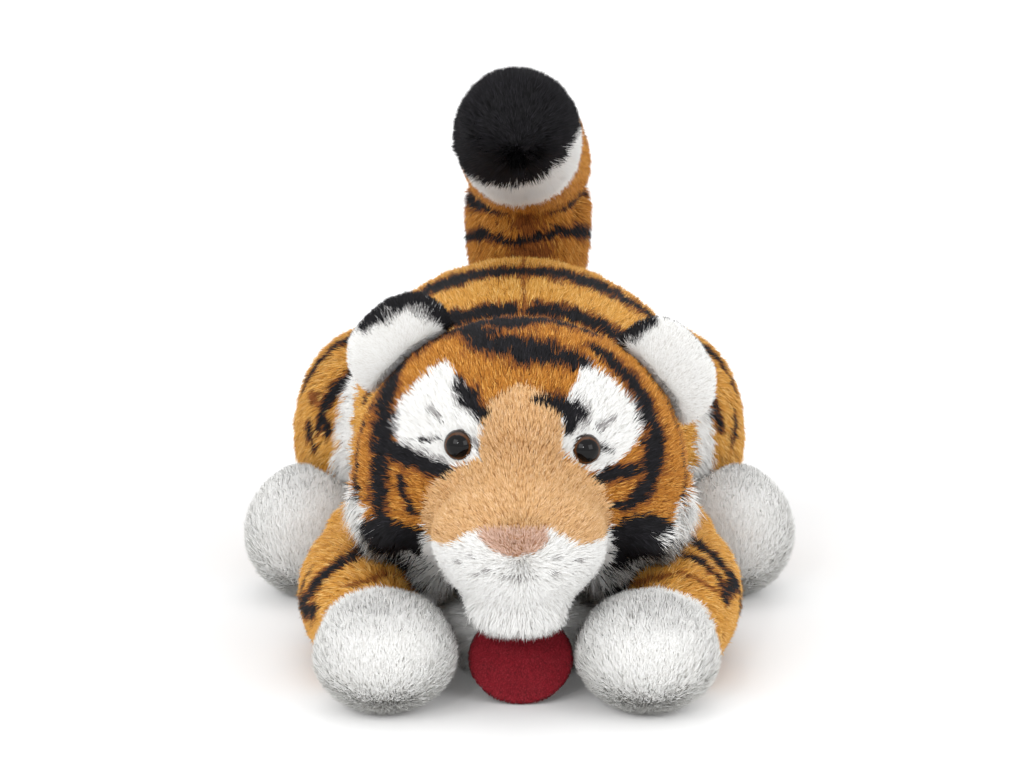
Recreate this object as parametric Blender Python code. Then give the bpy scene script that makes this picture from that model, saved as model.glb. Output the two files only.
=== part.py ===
"""Plush tiger lying on its belly, in metres, facing -Y, standing on z = 0.

Left and right are the tiger's own, so left is +X. Every stuffed piece is a Form: rings along a
spine, which swell and taper by shares of a half width, an upper and a lower height. A smaller
piece is cut by the larger one that it is sewn to, and a piece that moves has a ball root in a
hollow of its carrier.
"""

import math
from dataclasses import dataclass

import bmesh
import bpy
from mathutils import Matrix, Vector

# Seams, fabric and filling
SEAM_GAP = 0.0003
COVER_THICKNESS = 0.006
REST_CUT = 0.0005
CUT_OVERRUN = 0.02
CREASE_ANGLE = 45.0

# Body
BODY_FRONT = 0.043
BODY_REAR = 0.168
BODY_HALF_WIDTH = 0.089
BODY_SEAM_HEIGHT = 0.062
BODY_RIDGE_HEIGHT = 0.150
BODY_WIDTH_SHARES = (0.88, 0.92, 0.96, 1.0, 0.86)
BODY_UPPER_SHARES = (0.84, 0.93, 0.97, 1.0, 0.84)
BODY_LOWER_SHARES = (0.92, 1.0, 1.0, 1.0, 0.9)

# Chest pad between the forelegs
BIB_FRONT = 0.128
BIB_REAR = -0.014
BIB_HALF_WIDTH = 0.031
BIB_HEIGHT = 0.034

# Haunches
HAUNCH_OUT = 0.074
HAUNCH_BACK = 0.084
HAUNCH_HEIGHT = 0.064
HAUNCH_HALF_WIDTH = 0.0355
HAUNCH_HALF_LENGTH = 0.060
HAUNCH_HALF_HEIGHT = 0.050

# Hind paws, each turned about its ankle
HIND_PAW_OUT = 0.0995
HIND_PAW_BACK = 0.030
HIND_PAW_HALF_WIDTH = 0.0285
HIND_PAW_HALF_LENGTH = 0.037
HIND_PAW_HEIGHT = 0.0575
ANKLE_RADIUS = 0.017
ANKLE_BACK = 0.020
ANKLE_HEIGHT = 0.030
HIND_PAW_SPREAD = 12.0

# Neck ball and head
NECK_AHEAD = 0.056
NECK_HEIGHT = 0.084
NECK_RADIUS = 0.031
HEAD_CENTRE_AHEAD = 0.098
HEAD_HALF_DEPTH = 0.047
HEAD_HALF_WIDTH = 0.0705
HEAD_MID_HEIGHT = 0.082
HEAD_CROWN = 0.067
HEAD_JAW = 0.044
HEAD_WIDTH_SHARES = (0.98, 1.0, 0.98)
HEAD_SEAM_SHARE = 0.5
HEAD_ROLL = 2.0

# Muzzle, its bridge, nose and chin
MUZZLE_CENTRE_AHEAD = 0.149
MUZZLE_HALF_DEPTH = 0.034
MUZZLE_HALF_WIDTH = 0.0365
MUZZLE_SEAM_HEIGHT = 0.068
MUZZLE_UPPER = 0.024
MUZZLE_LOWER = 0.028
MUZZLE_WIDTH_SHARES = (0.9, 1.0, 1.0)
BRIDGE_LENGTH = 0.033
BRIDGE_HALF_WIDTH = 0.0145
BRIDGE_RISE = 0.0075
BRIDGE_WIDTH_SHARES = (0.85, 1.05, 1.35)
NOSE_HALF_WIDTH = 0.0130
NOSE_HALF_HEIGHT = 0.0065
NOSE_HALF_DEPTH = 0.008
NOSE_HEIGHT = 0.076
NOSE_STAND = 0.0035
CHIN_CENTRE_AHEAD = 0.157
CHIN_HALF_DEPTH = 0.015
CHIN_HALF_WIDTH = 0.0230
CHIN_HALF_HEIGHT = 0.0125
CHIN_HEIGHT = 0.044

# Cheek tufts
TUFT_OUT = 0.046
TUFT_HEIGHT = 0.0655
TUFT_HALF_WIDTH = 0.019
TUFT_HALF_DEPTH = 0.014
TUFT_HALF_HEIGHT = 0.0105
TUFT_SINK = 0.004

# Eyes: a 12 mm dome with a shank and a locking washer
EYE_RADIUS = 0.006
EYE_DOME = 0.0065
EYE_RIM = 0.0012
EYE_OUT = 0.025
EYE_OVER_MUZZLE = 0.0105
EYE_YAW = 14.0
SHANK_RADIUS = 0.0021
SHANK_LENGTH = 0.0125
WASHER_RADIUS = 0.007
WASHER_THICKNESS = 0.0014

# Ears
EAR_HALF_WIDTH = 0.0250
EAR_LENGTH = 0.044
EAR_HALF_THICKNESS = 0.0075
EAR_BACK = 0.0046
EAR_ROOT_SINK = 0.020
EAR_LEFT_RISE = 39.0
EAR_RIGHT_RISE = 47.0
EAR_FOLD_BACK = 15.0
EAR_FOLD_FORWARD = 10.0
EAR_WIDTH_SHARES = (0.82, 1.0, 1.0)

# Forelegs and front paws
SHOULDER_AHEAD = 0.016
SHOULDER_HEIGHT = 0.034
SHOULDER_OUT = 0.066
SHOULDER_RADIUS = 0.022
ELBOW_OUT = 0.069
ELBOW_AHEAD = 0.084
WRIST_OUT = 0.058
WRIST_AHEAD = 0.150
FORELEG_HALF_WIDTH = 0.025
FORELEG_HEIGHT = 0.056
FORELEG_WIDTH_SHARES = (0.86, 0.98, 1.0)
FORELEG_HEIGHT_SHARES = (0.74, 0.95, 1.0)
FORELEG_SPREAD = 8.0
PAW_LEFT_OUT = 0.0505
PAW_RIGHT_OUT = 0.0540
PAW_AHEAD = 0.1535
PAW_HALF_LENGTH = 0.0325
PAW_HALF_WIDTH = 0.0290
PAW_HEIGHT = 0.0435

# Tail: an upright stem that bends forward to the tip
TAIL_SIDE = 0.0045
TAIL_ROOT_BACK = 0.137
TAIL_ROOT_HEIGHT = 0.104
TAIL_STEM_BACK = 0.156
TAIL_STEM_RISE = 0.042
TAIL_ARCH_BACK = 0.140
TAIL_ARCH_RISE = 0.044
TAIL_NECK_BACK = 0.092
TAIL_NECK_RISE = 0.014
TAIL_TIP_SIDE = 0.002
TAIL_TIP_BACK = 0.026
TAIL_TIP_RISE = 0.018
TAIL_RADIUS = 0.031
TAIL_SHARES = (0.72, 1.0, 0.98, 0.93, 0.92)
TAIL_CURL_SHARE = 0.40
TAIL_RING_SHARE = 0.72
TAIL_TIP_SHARE = 0.80
TAIL_ROOT_RADIUS = 0.022
TAIL_CURL_RADIUS = 0.023
TAIL_SWAY = 8.0
TAIL_CURL = 8.0
TAIL_CREASE_SHARE = 2.4

# Tag and its tab
TAG_WIDTH = 0.042
TAG_LENGTH = 0.037
TAG_THICKNESS = 0.0024
TAG_EDGE = 0.0006
TAG_TOP_HEIGHT = 0.034
TAG_TOP_AHEAD = 0.1365
TAG_LEAN = 27.0
TAG_SIDES = 36
TAB_HALF_WIDTH = 0.005
TAB_HALF_THICKNESS = 0.0008
TAB_ROOT_AHEAD = 0.108
TAB_ROOT_HEIGHT = 0.024

X_AXIS = Vector((1, 0, 0))


def clear_scene():
    for obj in list(bpy.data.objects):
        bpy.data.objects.remove(obj, do_unlink=True)


def eased(row, at):
    """The value at a share of the way along a row of numbers or vectors, on a smooth curve."""
    spans = len(row) - 1
    here = min(int(at * spans), spans - 1)
    t = at * spans - here
    a, b, c, d = (row[min(max(here + step, 0), spans)] for step in (-1, 0, 1, 2))
    if here == 0:
        a = b * 2 - c
    if here == spans - 1:
        d = c * 2 - b
    return (b * 2 + (c - a) * t + (a * 2 - b * 5 + c * 4 - d) * t**2
            + (b * 3 - a - c * 3 + d) * t**3) * 0.5


@dataclass
class Form:
    """A stuffed shape: rings along a spine that runs from front to rear."""

    spine: list
    half_width: float
    upper: float
    lower: float
    width_shares: tuple = (1.0, 1.0)
    upper_shares: tuple = (1.0, 1.0)
    lower_shares: tuple = (1.0, 1.0)
    end_power: float = 2.0
    rings: int = 12
    sides: int = 20
    across: Vector = X_AXIS

    def sizes(self, at, grow=0.0):
        """The ring's half width, upper and lower height at a share of the spine."""
        round_end = max(1 - abs(2 * at - 1) ** self.end_power, 0) ** (1 / self.end_power)
        sizes = ((self.half_width, self.width_shares), (self.upper, self.upper_shares),
                 (self.lower, self.lower_shares))
        return [(size * eased(row, at) + grow) * round_end for size, row in sizes]

    def frame(self, at, grow=0.0):
        """The ring's centre, its direction across and its direction up."""
        step = 1 / (4 * self.rings)
        before, after = max(at - step, 0), min(at + step, 1)
        along = (eased(self.spine, after) - eased(self.spine, before)).normalized()
        across = (self.across - along * self.across.dot(along)).normalized()
        return eased(self.spine, at) + along * grow * (2 * at - 1), across, across.cross(along)

    def ring(self, at, grow, keep):
        """The points of one ring. keep is all, upper or lower: a kept half is flat on its seam."""
        half_width, upper, lower = self.sizes(at, grow)
        centre, across, up = self.frame(at, grow)
        if keep != "all":
            centre = centre + up * (SEAM_GAP / 2 if keep == "upper" else -SEAM_GAP / 2)
            upper, lower = (upper, 0) if keep == "upper" else (0, lower)
        if half_width <= SEAM_GAP:
            return [centre]
        points = []
        for side in range(self.sides):
            turn = 2 * math.pi * side / self.sides
            height = (upper if math.sin(turn) > 0 else lower) * math.sin(turn)
            points.append(centre + across * half_width * math.cos(turn) + up * height)
        return points

    def mesh(self, name, grow=0.0, start=0.0, end=1.0, keep="all"):
        """The closed mesh of the form between two shares of its spine, grown on every side."""
        first, last = math.acos(1 - 2 * start), math.acos(1 - 2 * end)
        steps = max(round(self.rings * (last - first) / math.pi), 3)
        shares = [(1 - math.cos(first + (last - first) * k / steps)) / 2 for k in range(steps + 1)]
        return ring_mesh(name, [self.ring(at, grow, keep) for at in shares])

    def share_at(self, y):
        """The share of a straight spine along Y at which y lies."""
        return (y - self.spine[0].y) / (self.spine[-1].y - self.spine[0].y)

    def reach(self, y, height):
        """Half the width of the form at a place along Y and a height above the floor."""
        half_width, upper, lower = self.sizes(self.share_at(y))
        rise = height - self.spine[0].z
        return half_width * math.sqrt(max(1 - (rise / (upper if rise > 0 else lower)) ** 2, 0))

    def front_at(self, x, height):
        """The y of the form's front surface at a place across and a height, by halving."""
        low, high = self.spine[0].y, (self.spine[0].y + self.spine[-1].y) / 2
        for _ in range(24):
            middle = (low + high) / 2
            low, high = (low, middle) if self.reach(middle, height) > abs(x) else (middle, high)
        return (low + high) / 2


def finished(bm, name):
    """The mesh of a bmesh, with its normals outward and only its sharp edges creased."""
    bmesh.ops.recalc_face_normals(bm, faces=bm.faces)
    mesh = bpy.data.meshes.new(name)
    bm.to_mesh(mesh)
    bm.free()
    mesh.shade_smooth()
    mesh.set_sharp_from_angle(angle=math.radians(CREASE_ANGLE))
    return mesh


def ring_mesh(name, rings):
    """A closed mesh through rings of points. A ring of one point is a pole, and ends are capped."""
    bm = bmesh.new()
    loops = [[bm.verts.new(point) for point in ring] for ring in rings]
    for near, far in zip(loops, loops[1:]):
        for side in range(max(len(near), len(far))):
            corners = [near[side % len(near)], near[(side + 1) % len(near)],
                       far[(side + 1) % len(far)], far[side % len(far)]]
            bm.faces.new(list(dict.fromkeys(corners)))
    for loop in (loops[0], loops[-1]):
        if len(loop) > 1:
            bm.faces.new(loop)
    return finished(bm, name)


def turned_mesh(name, profile, sides=20):
    """A mesh turned about +Z from a profile of (radius, height) points, first to last."""
    rings = []
    for radius, height in profile:
        turns = [2 * math.pi * side / sides for side in range(sides if radius else 1)]
        rings.append([Vector((radius * math.cos(t), radius * math.sin(t), height)) for t in turns])
    return ring_mesh(name, rings)


def ball_mesh(name, radius, sides=20):
    """A ball with half as many rings as sides, centred on its origin."""
    rings = sides // 2
    angles = [math.pi * k / rings - math.pi / 2 for k in range(rings + 1)]
    profile = [(radius * math.cos(a) if 0 < k < rings else 0, radius * math.sin(a))
               for k, a in enumerate(angles)]
    return turned_mesh(name, profile, sides)


def hollow_radius(radius, sides=20):
    """The radius of a faceted hollow whose flats still clear a ball by the seam gap."""
    return (radius + SEAM_GAP) / math.cos(math.pi / sides) ** 2


def socket_mesh(name, radius, sides=20):
    return ball_mesh(name, hollow_radius(radius, sides), sides)


def pile(name, colour, roughness=0.95, metallic=0.0):
    """A plain material, with its colour given as displayed."""
    material = bpy.data.materials.new(name)
    material.use_nodes = True
    shader = material.node_tree.nodes["Principled BSDF"]
    shader.inputs["Base Color"].default_value = (*(value**2.2 for value in colour), 1)
    shader.inputs["Roughness"].default_value = roughness
    shader.inputs["Metallic"].default_value = metallic
    material.diffuse_color = (*colour, 1)
    return material


def place(obj, at, parent):
    """Puts an object at a matrix and hangs it on its parent, which may already be turned."""
    obj.matrix_world = at
    if parent:
        obj.parent = parent
        obj.matrix_parent_inverse = Matrix.Translation(parent.location).inverted()


def add(name, mesh, material, parent=None, at=Matrix()):
    obj = bpy.data.objects.new(name, mesh)
    mesh.materials.append(pile(name + "_pile", **material))
    bpy.context.scene.collection.objects.link(obj)
    place(obj, at, parent)
    return obj


def helper(mesh, parent=None, at=Matrix()):
    """A cutter, left out of the render."""
    obj = bpy.data.objects.new(mesh.name, mesh)
    bpy.context.scene.collection.objects.link(obj)
    obj.hide_render = True
    obj.display_type = "WIRE"
    place(obj, at, parent)
    return obj


def pivot(name, at, parent=None):
    """An empty on a joint's axis, which carries the pieces that move with it."""
    empty = bpy.data.objects.new(name, None)
    bpy.context.scene.collection.objects.link(empty)
    empty.location = at
    empty.empty_display_size = SHANK_LENGTH
    if parent:
        empty.parent = parent
        empty.matrix_parent_inverse = Matrix.Translation(parent.location).inverted()
    return empty


def boolean(obj, operation, other):
    modifier = obj.modifiers.new(operation.lower() + "_" + other.name, "BOOLEAN")
    modifier.operation = operation
    modifier.solver = "EXACT"
    modifier.object = other


def cut(obj, *others):
    for other in others:
        boolean(obj, "DIFFERENCE", other)


def join(obj, *others):
    for other in others:
        boolean(obj, "UNION", other)


def about(point, axis, degrees):
    """The matrix that turns the world about an axis through a point."""
    turn = Matrix.Rotation(math.radians(degrees), 4, axis)
    return Matrix.Translation(point) @ turn @ Matrix.Translation(-point)


def swept(form, name, point, axis, degrees, parent=None):
    """Copies of a larger form as a moving piece meets it at each angle of its joint."""
    mesh = form.mesh(name, grow=SEAM_GAP)
    return [helper(mesh, parent, about(point, axis, turn)) for turn in degrees]


ORANGE = {"colour": (0.80, 0.52, 0.22)}
WHITE = {"colour": (0.93, 0.92, 0.90)}
BLACK = {"colour": (0.10, 0.10, 0.12)}
TAN = {"colour": (0.85, 0.65, 0.43)}
PINK = {"colour": (0.82, 0.62, 0.52)}
FIBRE = {"colour": (0.90, 0.90, 0.88)}
FELT = {"colour": (0.62, 0.05, 0.10), "roughness": 0.9}
EYE_PLASTIC = {"colour": (0.03, 0.02, 0.02), "roughness": 0.05}
CLEAR_PLASTIC = {"colour": (0.75, 0.74, 0.70), "roughness": 0.4}

SIDES = {"left": 1, "right": -1}


def on_floor(spine, height):
    """Heights of a form that stands on the floor and is cut flat there: spine, upper and lower."""
    return spine, height / 2, height / 2 + REST_CUT


def floor_cutter():
    reach = 2 * (BODY_REAR + MUZZLE_CENTRE_AHEAD)
    half = Vector((reach, reach, CUT_OVERRUN / 2))
    corners = [[Vector((x * half.x, y * half.y, z * half.z - half.z))
                for x, y in ((1, 1), (-1, 1), (-1, -1), (1, -1))] for z in (-1, 1)]
    return helper(ring_mesh("floor_cutter", corners))


def body_form(thickness=0.0):
    """The body's outer form, or the one inside a cover of some thickness."""
    spine = [Vector((0, -BODY_FRONT + thickness, BODY_SEAM_HEIGHT)),
             Vector((0, BODY_REAR - thickness, BODY_SEAM_HEIGHT))]
    return Form(spine, BODY_HALF_WIDTH - thickness,
                BODY_RIDGE_HEIGHT - BODY_SEAM_HEIGHT - thickness,
                BODY_SEAM_HEIGHT + REST_CUT - thickness, BODY_WIDTH_SHARES, BODY_UPPER_SHARES,
                BODY_LOWER_SHARES, end_power=2.5, rings=12, sides=22)


def head_form(thickness=0.0):
    spine = [Vector((0, -HEAD_CENTRE_AHEAD - HEAD_HALF_DEPTH + thickness, HEAD_MID_HEIGHT)),
             Vector((0, -HEAD_CENTRE_AHEAD + HEAD_HALF_DEPTH - thickness, HEAD_MID_HEIGHT))]
    return Form(spine, HEAD_HALF_WIDTH - thickness, HEAD_CROWN - thickness, HEAD_JAW - thickness,
                HEAD_WIDTH_SHARES, end_power=2.2, rings=10, sides=22)


def bib_form():
    height, upper, lower = on_floor(BIB_HEIGHT / 2, BIB_HEIGHT)
    return Form([Vector((0, -BIB_FRONT, height)), Vector((0, -BIB_REAR, height))],
                BIB_HALF_WIDTH, upper, lower, end_power=2.6, rings=9, sides=16)


def haunch_form(side):
    x = side * HAUNCH_OUT
    return Form([Vector((x, HAUNCH_BACK - HAUNCH_HALF_LENGTH, HAUNCH_HEIGHT)),
                 Vector((x, HAUNCH_BACK + HAUNCH_HALF_LENGTH, HAUNCH_HEIGHT))],
                HAUNCH_HALF_WIDTH, HAUNCH_HALF_HEIGHT, HAUNCH_HALF_HEIGHT, rings=10, sides=18)


def hind_paw_form(side):
    x = side * HIND_PAW_OUT
    height, upper, lower = on_floor(HIND_PAW_HEIGHT / 2, HIND_PAW_HEIGHT)
    return Form([Vector((x, HIND_PAW_BACK - HIND_PAW_HALF_LENGTH, height)),
                 Vector((x, HIND_PAW_BACK + HIND_PAW_HALF_LENGTH, height))],
                HIND_PAW_HALF_WIDTH, upper, lower, end_power=2.2, rings=10, sides=18)


def paw_form(side):
    x = PAW_LEFT_OUT if side > 0 else -PAW_RIGHT_OUT
    height, upper, lower = on_floor(PAW_HEIGHT / 2, PAW_HEIGHT)
    return Form([Vector((x, -PAW_AHEAD - PAW_HALF_LENGTH, height)),
                 Vector((x, -PAW_AHEAD + PAW_HALF_LENGTH, height))],
                PAW_HALF_WIDTH, upper, lower, end_power=2.2, rings=10, sides=18)


def foreleg_form(side):
    height, upper, lower = on_floor(FORELEG_HEIGHT / 2, FORELEG_HEIGHT)
    spine = [Vector((side * WRIST_OUT, -WRIST_AHEAD, height)),
             Vector((side * ELBOW_OUT, -ELBOW_AHEAD, height)),
             Vector((side * SHOULDER_OUT, -SHOULDER_AHEAD, height))]
    return Form(spine, FORELEG_HALF_WIDTH, upper, lower, FORELEG_WIDTH_SHARES,
                FORELEG_HEIGHT_SHARES, end_power=2.6, rings=11, sides=18)


def tail_form():
    stem = TAIL_ROOT_HEIGHT + TAIL_STEM_RISE
    neck = stem + TAIL_ARCH_RISE + TAIL_NECK_RISE
    spine = [Vector((TAIL_SIDE, TAIL_ROOT_BACK, TAIL_ROOT_HEIGHT)),
             Vector((TAIL_SIDE, TAIL_STEM_BACK, stem)),
             Vector((TAIL_SIDE, TAIL_ARCH_BACK, stem + TAIL_ARCH_RISE)),
             Vector((0, TAIL_NECK_BACK, neck)),
             Vector((-TAIL_TIP_SIDE, TAIL_TIP_BACK, neck + TAIL_TIP_RISE))]
    return Form(spine, TAIL_RADIUS, TAIL_RADIUS, TAIL_RADIUS, TAIL_SHARES, TAIL_SHARES,
                TAIL_SHARES, end_power=4.5, rings=20, sides=16)


def build_body(floor):
    """Upper and lower body covers round their filling, with the bib and haunches sewn on."""
    outer, inner = body_form(), body_form(COVER_THICKNESS)
    filling_space = helper(inner.mesh("body_filling_space", grow=SEAM_GAP))
    pieces = {
        "back_cover": add("back_cover", outer.mesh("back_cover", keep="upper"), ORANGE),
        "belly_cover": add("belly_cover", outer.mesh("belly_cover", keep="lower"), WHITE),
    }
    for cover in pieces.values():
        cut(cover, filling_space)
    cut(pieces["belly_cover"], floor)
    pieces["body_filling"] = add("body_filling", inner.mesh("body_filling"), FIBRE)
    body_space = helper(outer.mesh("body_space", grow=SEAM_GAP))
    bib = add("chest_bib", bib_form().mesh("chest_bib"), WHITE)
    cut(bib, body_space, floor)
    for name, side in SIDES.items():
        haunch = add("haunch_" + name, haunch_form(side).mesh("haunch_" + name), ORANGE)
        cut(haunch, body_space)
        pieces["haunch_" + name] = haunch
    return pieces


def build_neck(body):
    """The neck ball, half sunk in the body's front, which also fills the head's hollow."""
    centre = Vector((0, -NECK_AHEAD, NECK_HEIGHT))
    nod = pivot("head_nod_pivot", centre)
    add("neck", ball_mesh("neck", NECK_RADIUS, 24), ORANGE, nod, Matrix.Translation(centre))
    hollow = helper(socket_mesh("neck_hollow", NECK_RADIUS, 24), None, Matrix.Translation(centre))
    for name in ("back_cover", "belly_cover", "body_filling"):
        cut(body[name], hollow)
    return nod, hollow


def build_head(nod, neck_hollow):
    """Front and rear head covers round their filling."""
    centre = nod.location.copy()
    turn = pivot("head_turn_pivot", centre, nod)
    outer, inner = head_form(), head_form(COVER_THICKNESS)
    filling_space = helper(inner.mesh("head_filling_space", grow=SEAM_GAP), turn)
    gap_share = SEAM_GAP / (2 * HEAD_HALF_DEPTH) / 2
    face = add("face_cover", outer.mesh("face_cover", end=HEAD_SEAM_SHARE - gap_share), ORANGE,
               turn)
    rear = add("head_back_cover", outer.mesh("head_back_cover", start=HEAD_SEAM_SHARE + gap_share),
               ORANGE, turn)
    filling = add("head_filling", inner.mesh("head_filling"), FIBRE, turn)
    for cover in (face, rear):
        cut(cover, filling_space)
    for piece in (face, rear, filling):
        cut(piece, neck_hollow)
    return turn, face, filling


def build_muzzle(turn, face):
    """Tan upper and white lower muzzle, the bridge above, the nose and the chin."""
    head = head_form()
    head_space = helper(head.mesh("head_space", grow=SEAM_GAP), turn)
    muzzle = Form([Vector((0, -MUZZLE_CENTRE_AHEAD - MUZZLE_HALF_DEPTH, MUZZLE_SEAM_HEIGHT)),
                   Vector((0, -MUZZLE_CENTRE_AHEAD + MUZZLE_HALF_DEPTH, MUZZLE_SEAM_HEIGHT))],
                  MUZZLE_HALF_WIDTH, MUZZLE_UPPER, MUZZLE_LOWER, MUZZLE_WIDTH_SHARES,
                  rings=10, sides=20)
    muzzle_space = helper(muzzle.mesh("muzzle_space", grow=SEAM_GAP), turn)
    top = add("muzzle_top", muzzle.mesh("muzzle_top", keep="upper"), TAN, turn)
    lower = add("muzzle_lower", muzzle.mesh("muzzle_lower", keep="lower"), WHITE, turn)
    cut(top, head_space)
    cut(lower, head_space)

    chin = Form([Vector((0, -CHIN_CENTRE_AHEAD - CHIN_HALF_DEPTH, CHIN_HEIGHT)),
                 Vector((0, -CHIN_CENTRE_AHEAD + CHIN_HALF_DEPTH, CHIN_HEIGHT))],
                CHIN_HALF_WIDTH, CHIN_HALF_HEIGHT, CHIN_HALF_HEIGHT, rings=8, sides=16)
    cut(add("chin", chin.mesh("chin"), WHITE, turn), muzzle_space, head_space)

    nose_front = muzzle.front_at(0, NOSE_HEIGHT) - NOSE_STAND
    nose = Form([Vector((0, nose_front, NOSE_HEIGHT)),
                 Vector((0, nose_front + 2 * NOSE_HALF_DEPTH, NOSE_HEIGHT))],
                NOSE_HALF_WIDTH, NOSE_HALF_HEIGHT, NOSE_HALF_HEIGHT, rings=7, sides=14)
    cut(add("nose", nose.mesh("nose"), PINK, turn), muzzle_space)

    foot = MUZZLE_SEAM_HEIGHT + MUZZLE_UPPER
    heights = [foot + BRIDGE_LENGTH, foot + BRIDGE_LENGTH / 2, foot]
    spine = [Vector((0, head.front_at(0, height), height)) for height in heights]
    bridge = Form(spine, BRIDGE_HALF_WIDTH, BRIDGE_RISE, BRIDGE_RISE, BRIDGE_WIDTH_SHARES,
                  rings=9, sides=14)
    piece = add("nose_bridge", bridge.mesh("nose_bridge"), TAN, turn)
    cut(piece, head_space, muzzle_space)
    return head_space


def build_cheeks(turn, head_space):
    head = head_form()
    for name, side in SIDES.items():
        front = head.front_at(TUFT_OUT, TUFT_HEIGHT) - TUFT_SINK
        x = side * TUFT_OUT
        tuft = Form([Vector((x, front, TUFT_HEIGHT)),
                     Vector((x, front + 2 * TUFT_HALF_DEPTH, TUFT_HEIGHT))],
                    TUFT_HALF_WIDTH, TUFT_HALF_HEIGHT, TUFT_HALF_HEIGHT, rings=7, sides=14)
        cut(add("cheek_tuft_" + name, tuft.mesh("cheek_tuft_" + name), BLACK, turn), head_space)


def eye_profile(grow):
    """The eye's turned outline: dome, rim and shank, from the tip of the dome backwards."""
    dome_steps = 5
    profile = [(0, EYE_DOME + grow)]
    for step in range(1, dome_steps + 1):
        angle = math.pi / 2 * step / dome_steps
        profile.append(((EYE_RADIUS + grow) * math.sin(angle),
                        (EYE_DOME + grow) * math.cos(angle)))
    profile += [(EYE_RADIUS + grow, -EYE_RIM - grow), (SHANK_RADIUS + grow, -EYE_RIM - grow),
                (SHANK_RADIUS + grow, -SHANK_LENGTH - grow), (0, -SHANK_LENGTH - grow)]
    return profile


def washer_profile(bore, grow=0.0):
    """The washer's turned outline behind the face cover. With no bore it is a plain disc."""
    near = -EYE_RIM - COVER_THICKNESS + grow
    far = near - WASHER_THICKNESS - 2 * grow
    outer = WASHER_RADIUS + grow
    return [(bore, near), (outer, near), (outer, far), (bore, far)]


def tube_mesh(name, profile, sides=20):
    """A turned ring with a bore, from a closed profile."""
    rings = []
    for side in range(sides):
        t = 2 * math.pi * side / sides
        rings.append([Vector((r * math.cos(t), r * math.sin(t), h)) for r, h in profile])
    bm = bmesh.new()
    loops = [[bm.verts.new(point) for point in ring] for ring in rings]
    count = len(profile)
    for side in range(sides):
        near, far = loops[side], loops[(side + 1) % sides]
        for k in range(count):
            bm.faces.new([near[k], near[(k + 1) % count], far[(k + 1) % count], far[k]])
    return finished(bm, name)


def build_eyes(turn, face, filling):
    """Each eye sits in the face cover with its shank through it, locked by a washer inside."""
    head = head_form()
    height = MUZZLE_SEAM_HEIGHT + MUZZLE_UPPER + EYE_OVER_MUZZLE
    for name, side in SIDES.items():
        front = head.front_at(EYE_OUT, height)
        facing = Matrix.Rotation(math.radians(side * EYE_YAW), 4, "Z")
        lie = Matrix.Rotation(math.radians(90), 4, "X")
        at = Matrix.Translation((side * EYE_OUT, front, height)) @ facing @ lie
        add("eye_" + name, turned_mesh("eye_" + name, eye_profile(0)), EYE_PLASTIC, turn, at)
        washer = washer_profile(SHANK_RADIUS + SEAM_GAP)
        add("eye_washer_" + name, tube_mesh("eye_washer_" + name, washer), CLEAR_PLASTIC, turn, at)
        eye_space = helper(turned_mesh("eye_space_" + name, eye_profile(SEAM_GAP)), turn, at)
        disc = turned_mesh("washer_space_" + name, washer_profile(0, SEAM_GAP))
        washer_space = helper(disc, turn, at)
        cut(face, eye_space, washer_space)
        cut(filling, eye_space, washer_space)


def build_ears(turn):
    """Each ear is a white front and a black back, folded at its root on the head."""
    head = head_form()
    for name, side, rise in (("left", 1, EAR_LEFT_RISE), ("right", -1, EAR_RIGHT_RISE)):
        angle = math.radians(rise)
        outward = Vector((side * math.cos(angle), 0, math.sin(angle)))
        across = Vector((outward.z, 0, -outward.x))
        y = -HEAD_CENTRE_AHEAD + EAR_BACK
        half_width, crown, _ = head.sizes(head.share_at(y))
        surface = Vector((outward.x * half_width, y, HEAD_MID_HEIGHT + outward.z * crown))
        root = pivot("ear_" + name + "_pivot", surface, turn)
        spine = [surface - outward * EAR_ROOT_SINK,
                 surface + outward * (EAR_LENGTH - EAR_ROOT_SINK)]
        ear = Form(spine, EAR_HALF_WIDTH, EAR_HALF_THICKNESS, EAR_HALF_THICKNESS,
                   EAR_WIDTH_SHARES, end_power=2.4, rings=9, sides=18, across=across)
        spaces = swept(head, "head_space_ear_" + name, surface, across,
                       (EAR_FOLD_BACK, 0, -EAR_FOLD_FORWARD), turn)
        for piece, keep, material in (("front", "upper", WHITE), ("back", "lower", BLACK)):
            full_name = "ear_" + piece + "_" + name
            cut(add(full_name, ear.mesh(full_name, keep=keep), material, root), *spaces)


def build_forelegs(body, floor):
    """A foreleg turns about an upright axis at its shoulder ball, with the paw on its end."""
    for name, side in SIDES.items():
        shoulder = Vector((side * SHOULDER_OUT, -SHOULDER_AHEAD, SHOULDER_HEIGHT))
        root = pivot("shoulder_" + name + "_pivot", shoulder)
        at = Matrix.Translation(shoulder)
        leg = add("foreleg_" + name, foreleg_form(side).mesh("foreleg_" + name), ORANGE, root)
        cut(leg, *swept(body_form(), "body_space_foreleg_" + name, shoulder, "Z",
                        (-side * FORELEG_SPREAD, -side * FORELEG_SPREAD / 2, 0)))
        join(leg, helper(ball_mesh("shoulder_ball_" + name, SHOULDER_RADIUS), root, at))
        hollow = helper(socket_mesh("shoulder_hollow_" + name, SHOULDER_RADIUS), None, at)
        for piece in ("back_cover", "belly_cover", "body_filling"):
            cut(body[piece], hollow)
        paw = paw_form(side)
        cut(leg, helper(paw.mesh("paw_space_" + name, grow=SEAM_GAP), root), floor)
        cut(add("front_paw_" + name, paw.mesh("front_paw_" + name), WHITE, root), floor)


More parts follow.
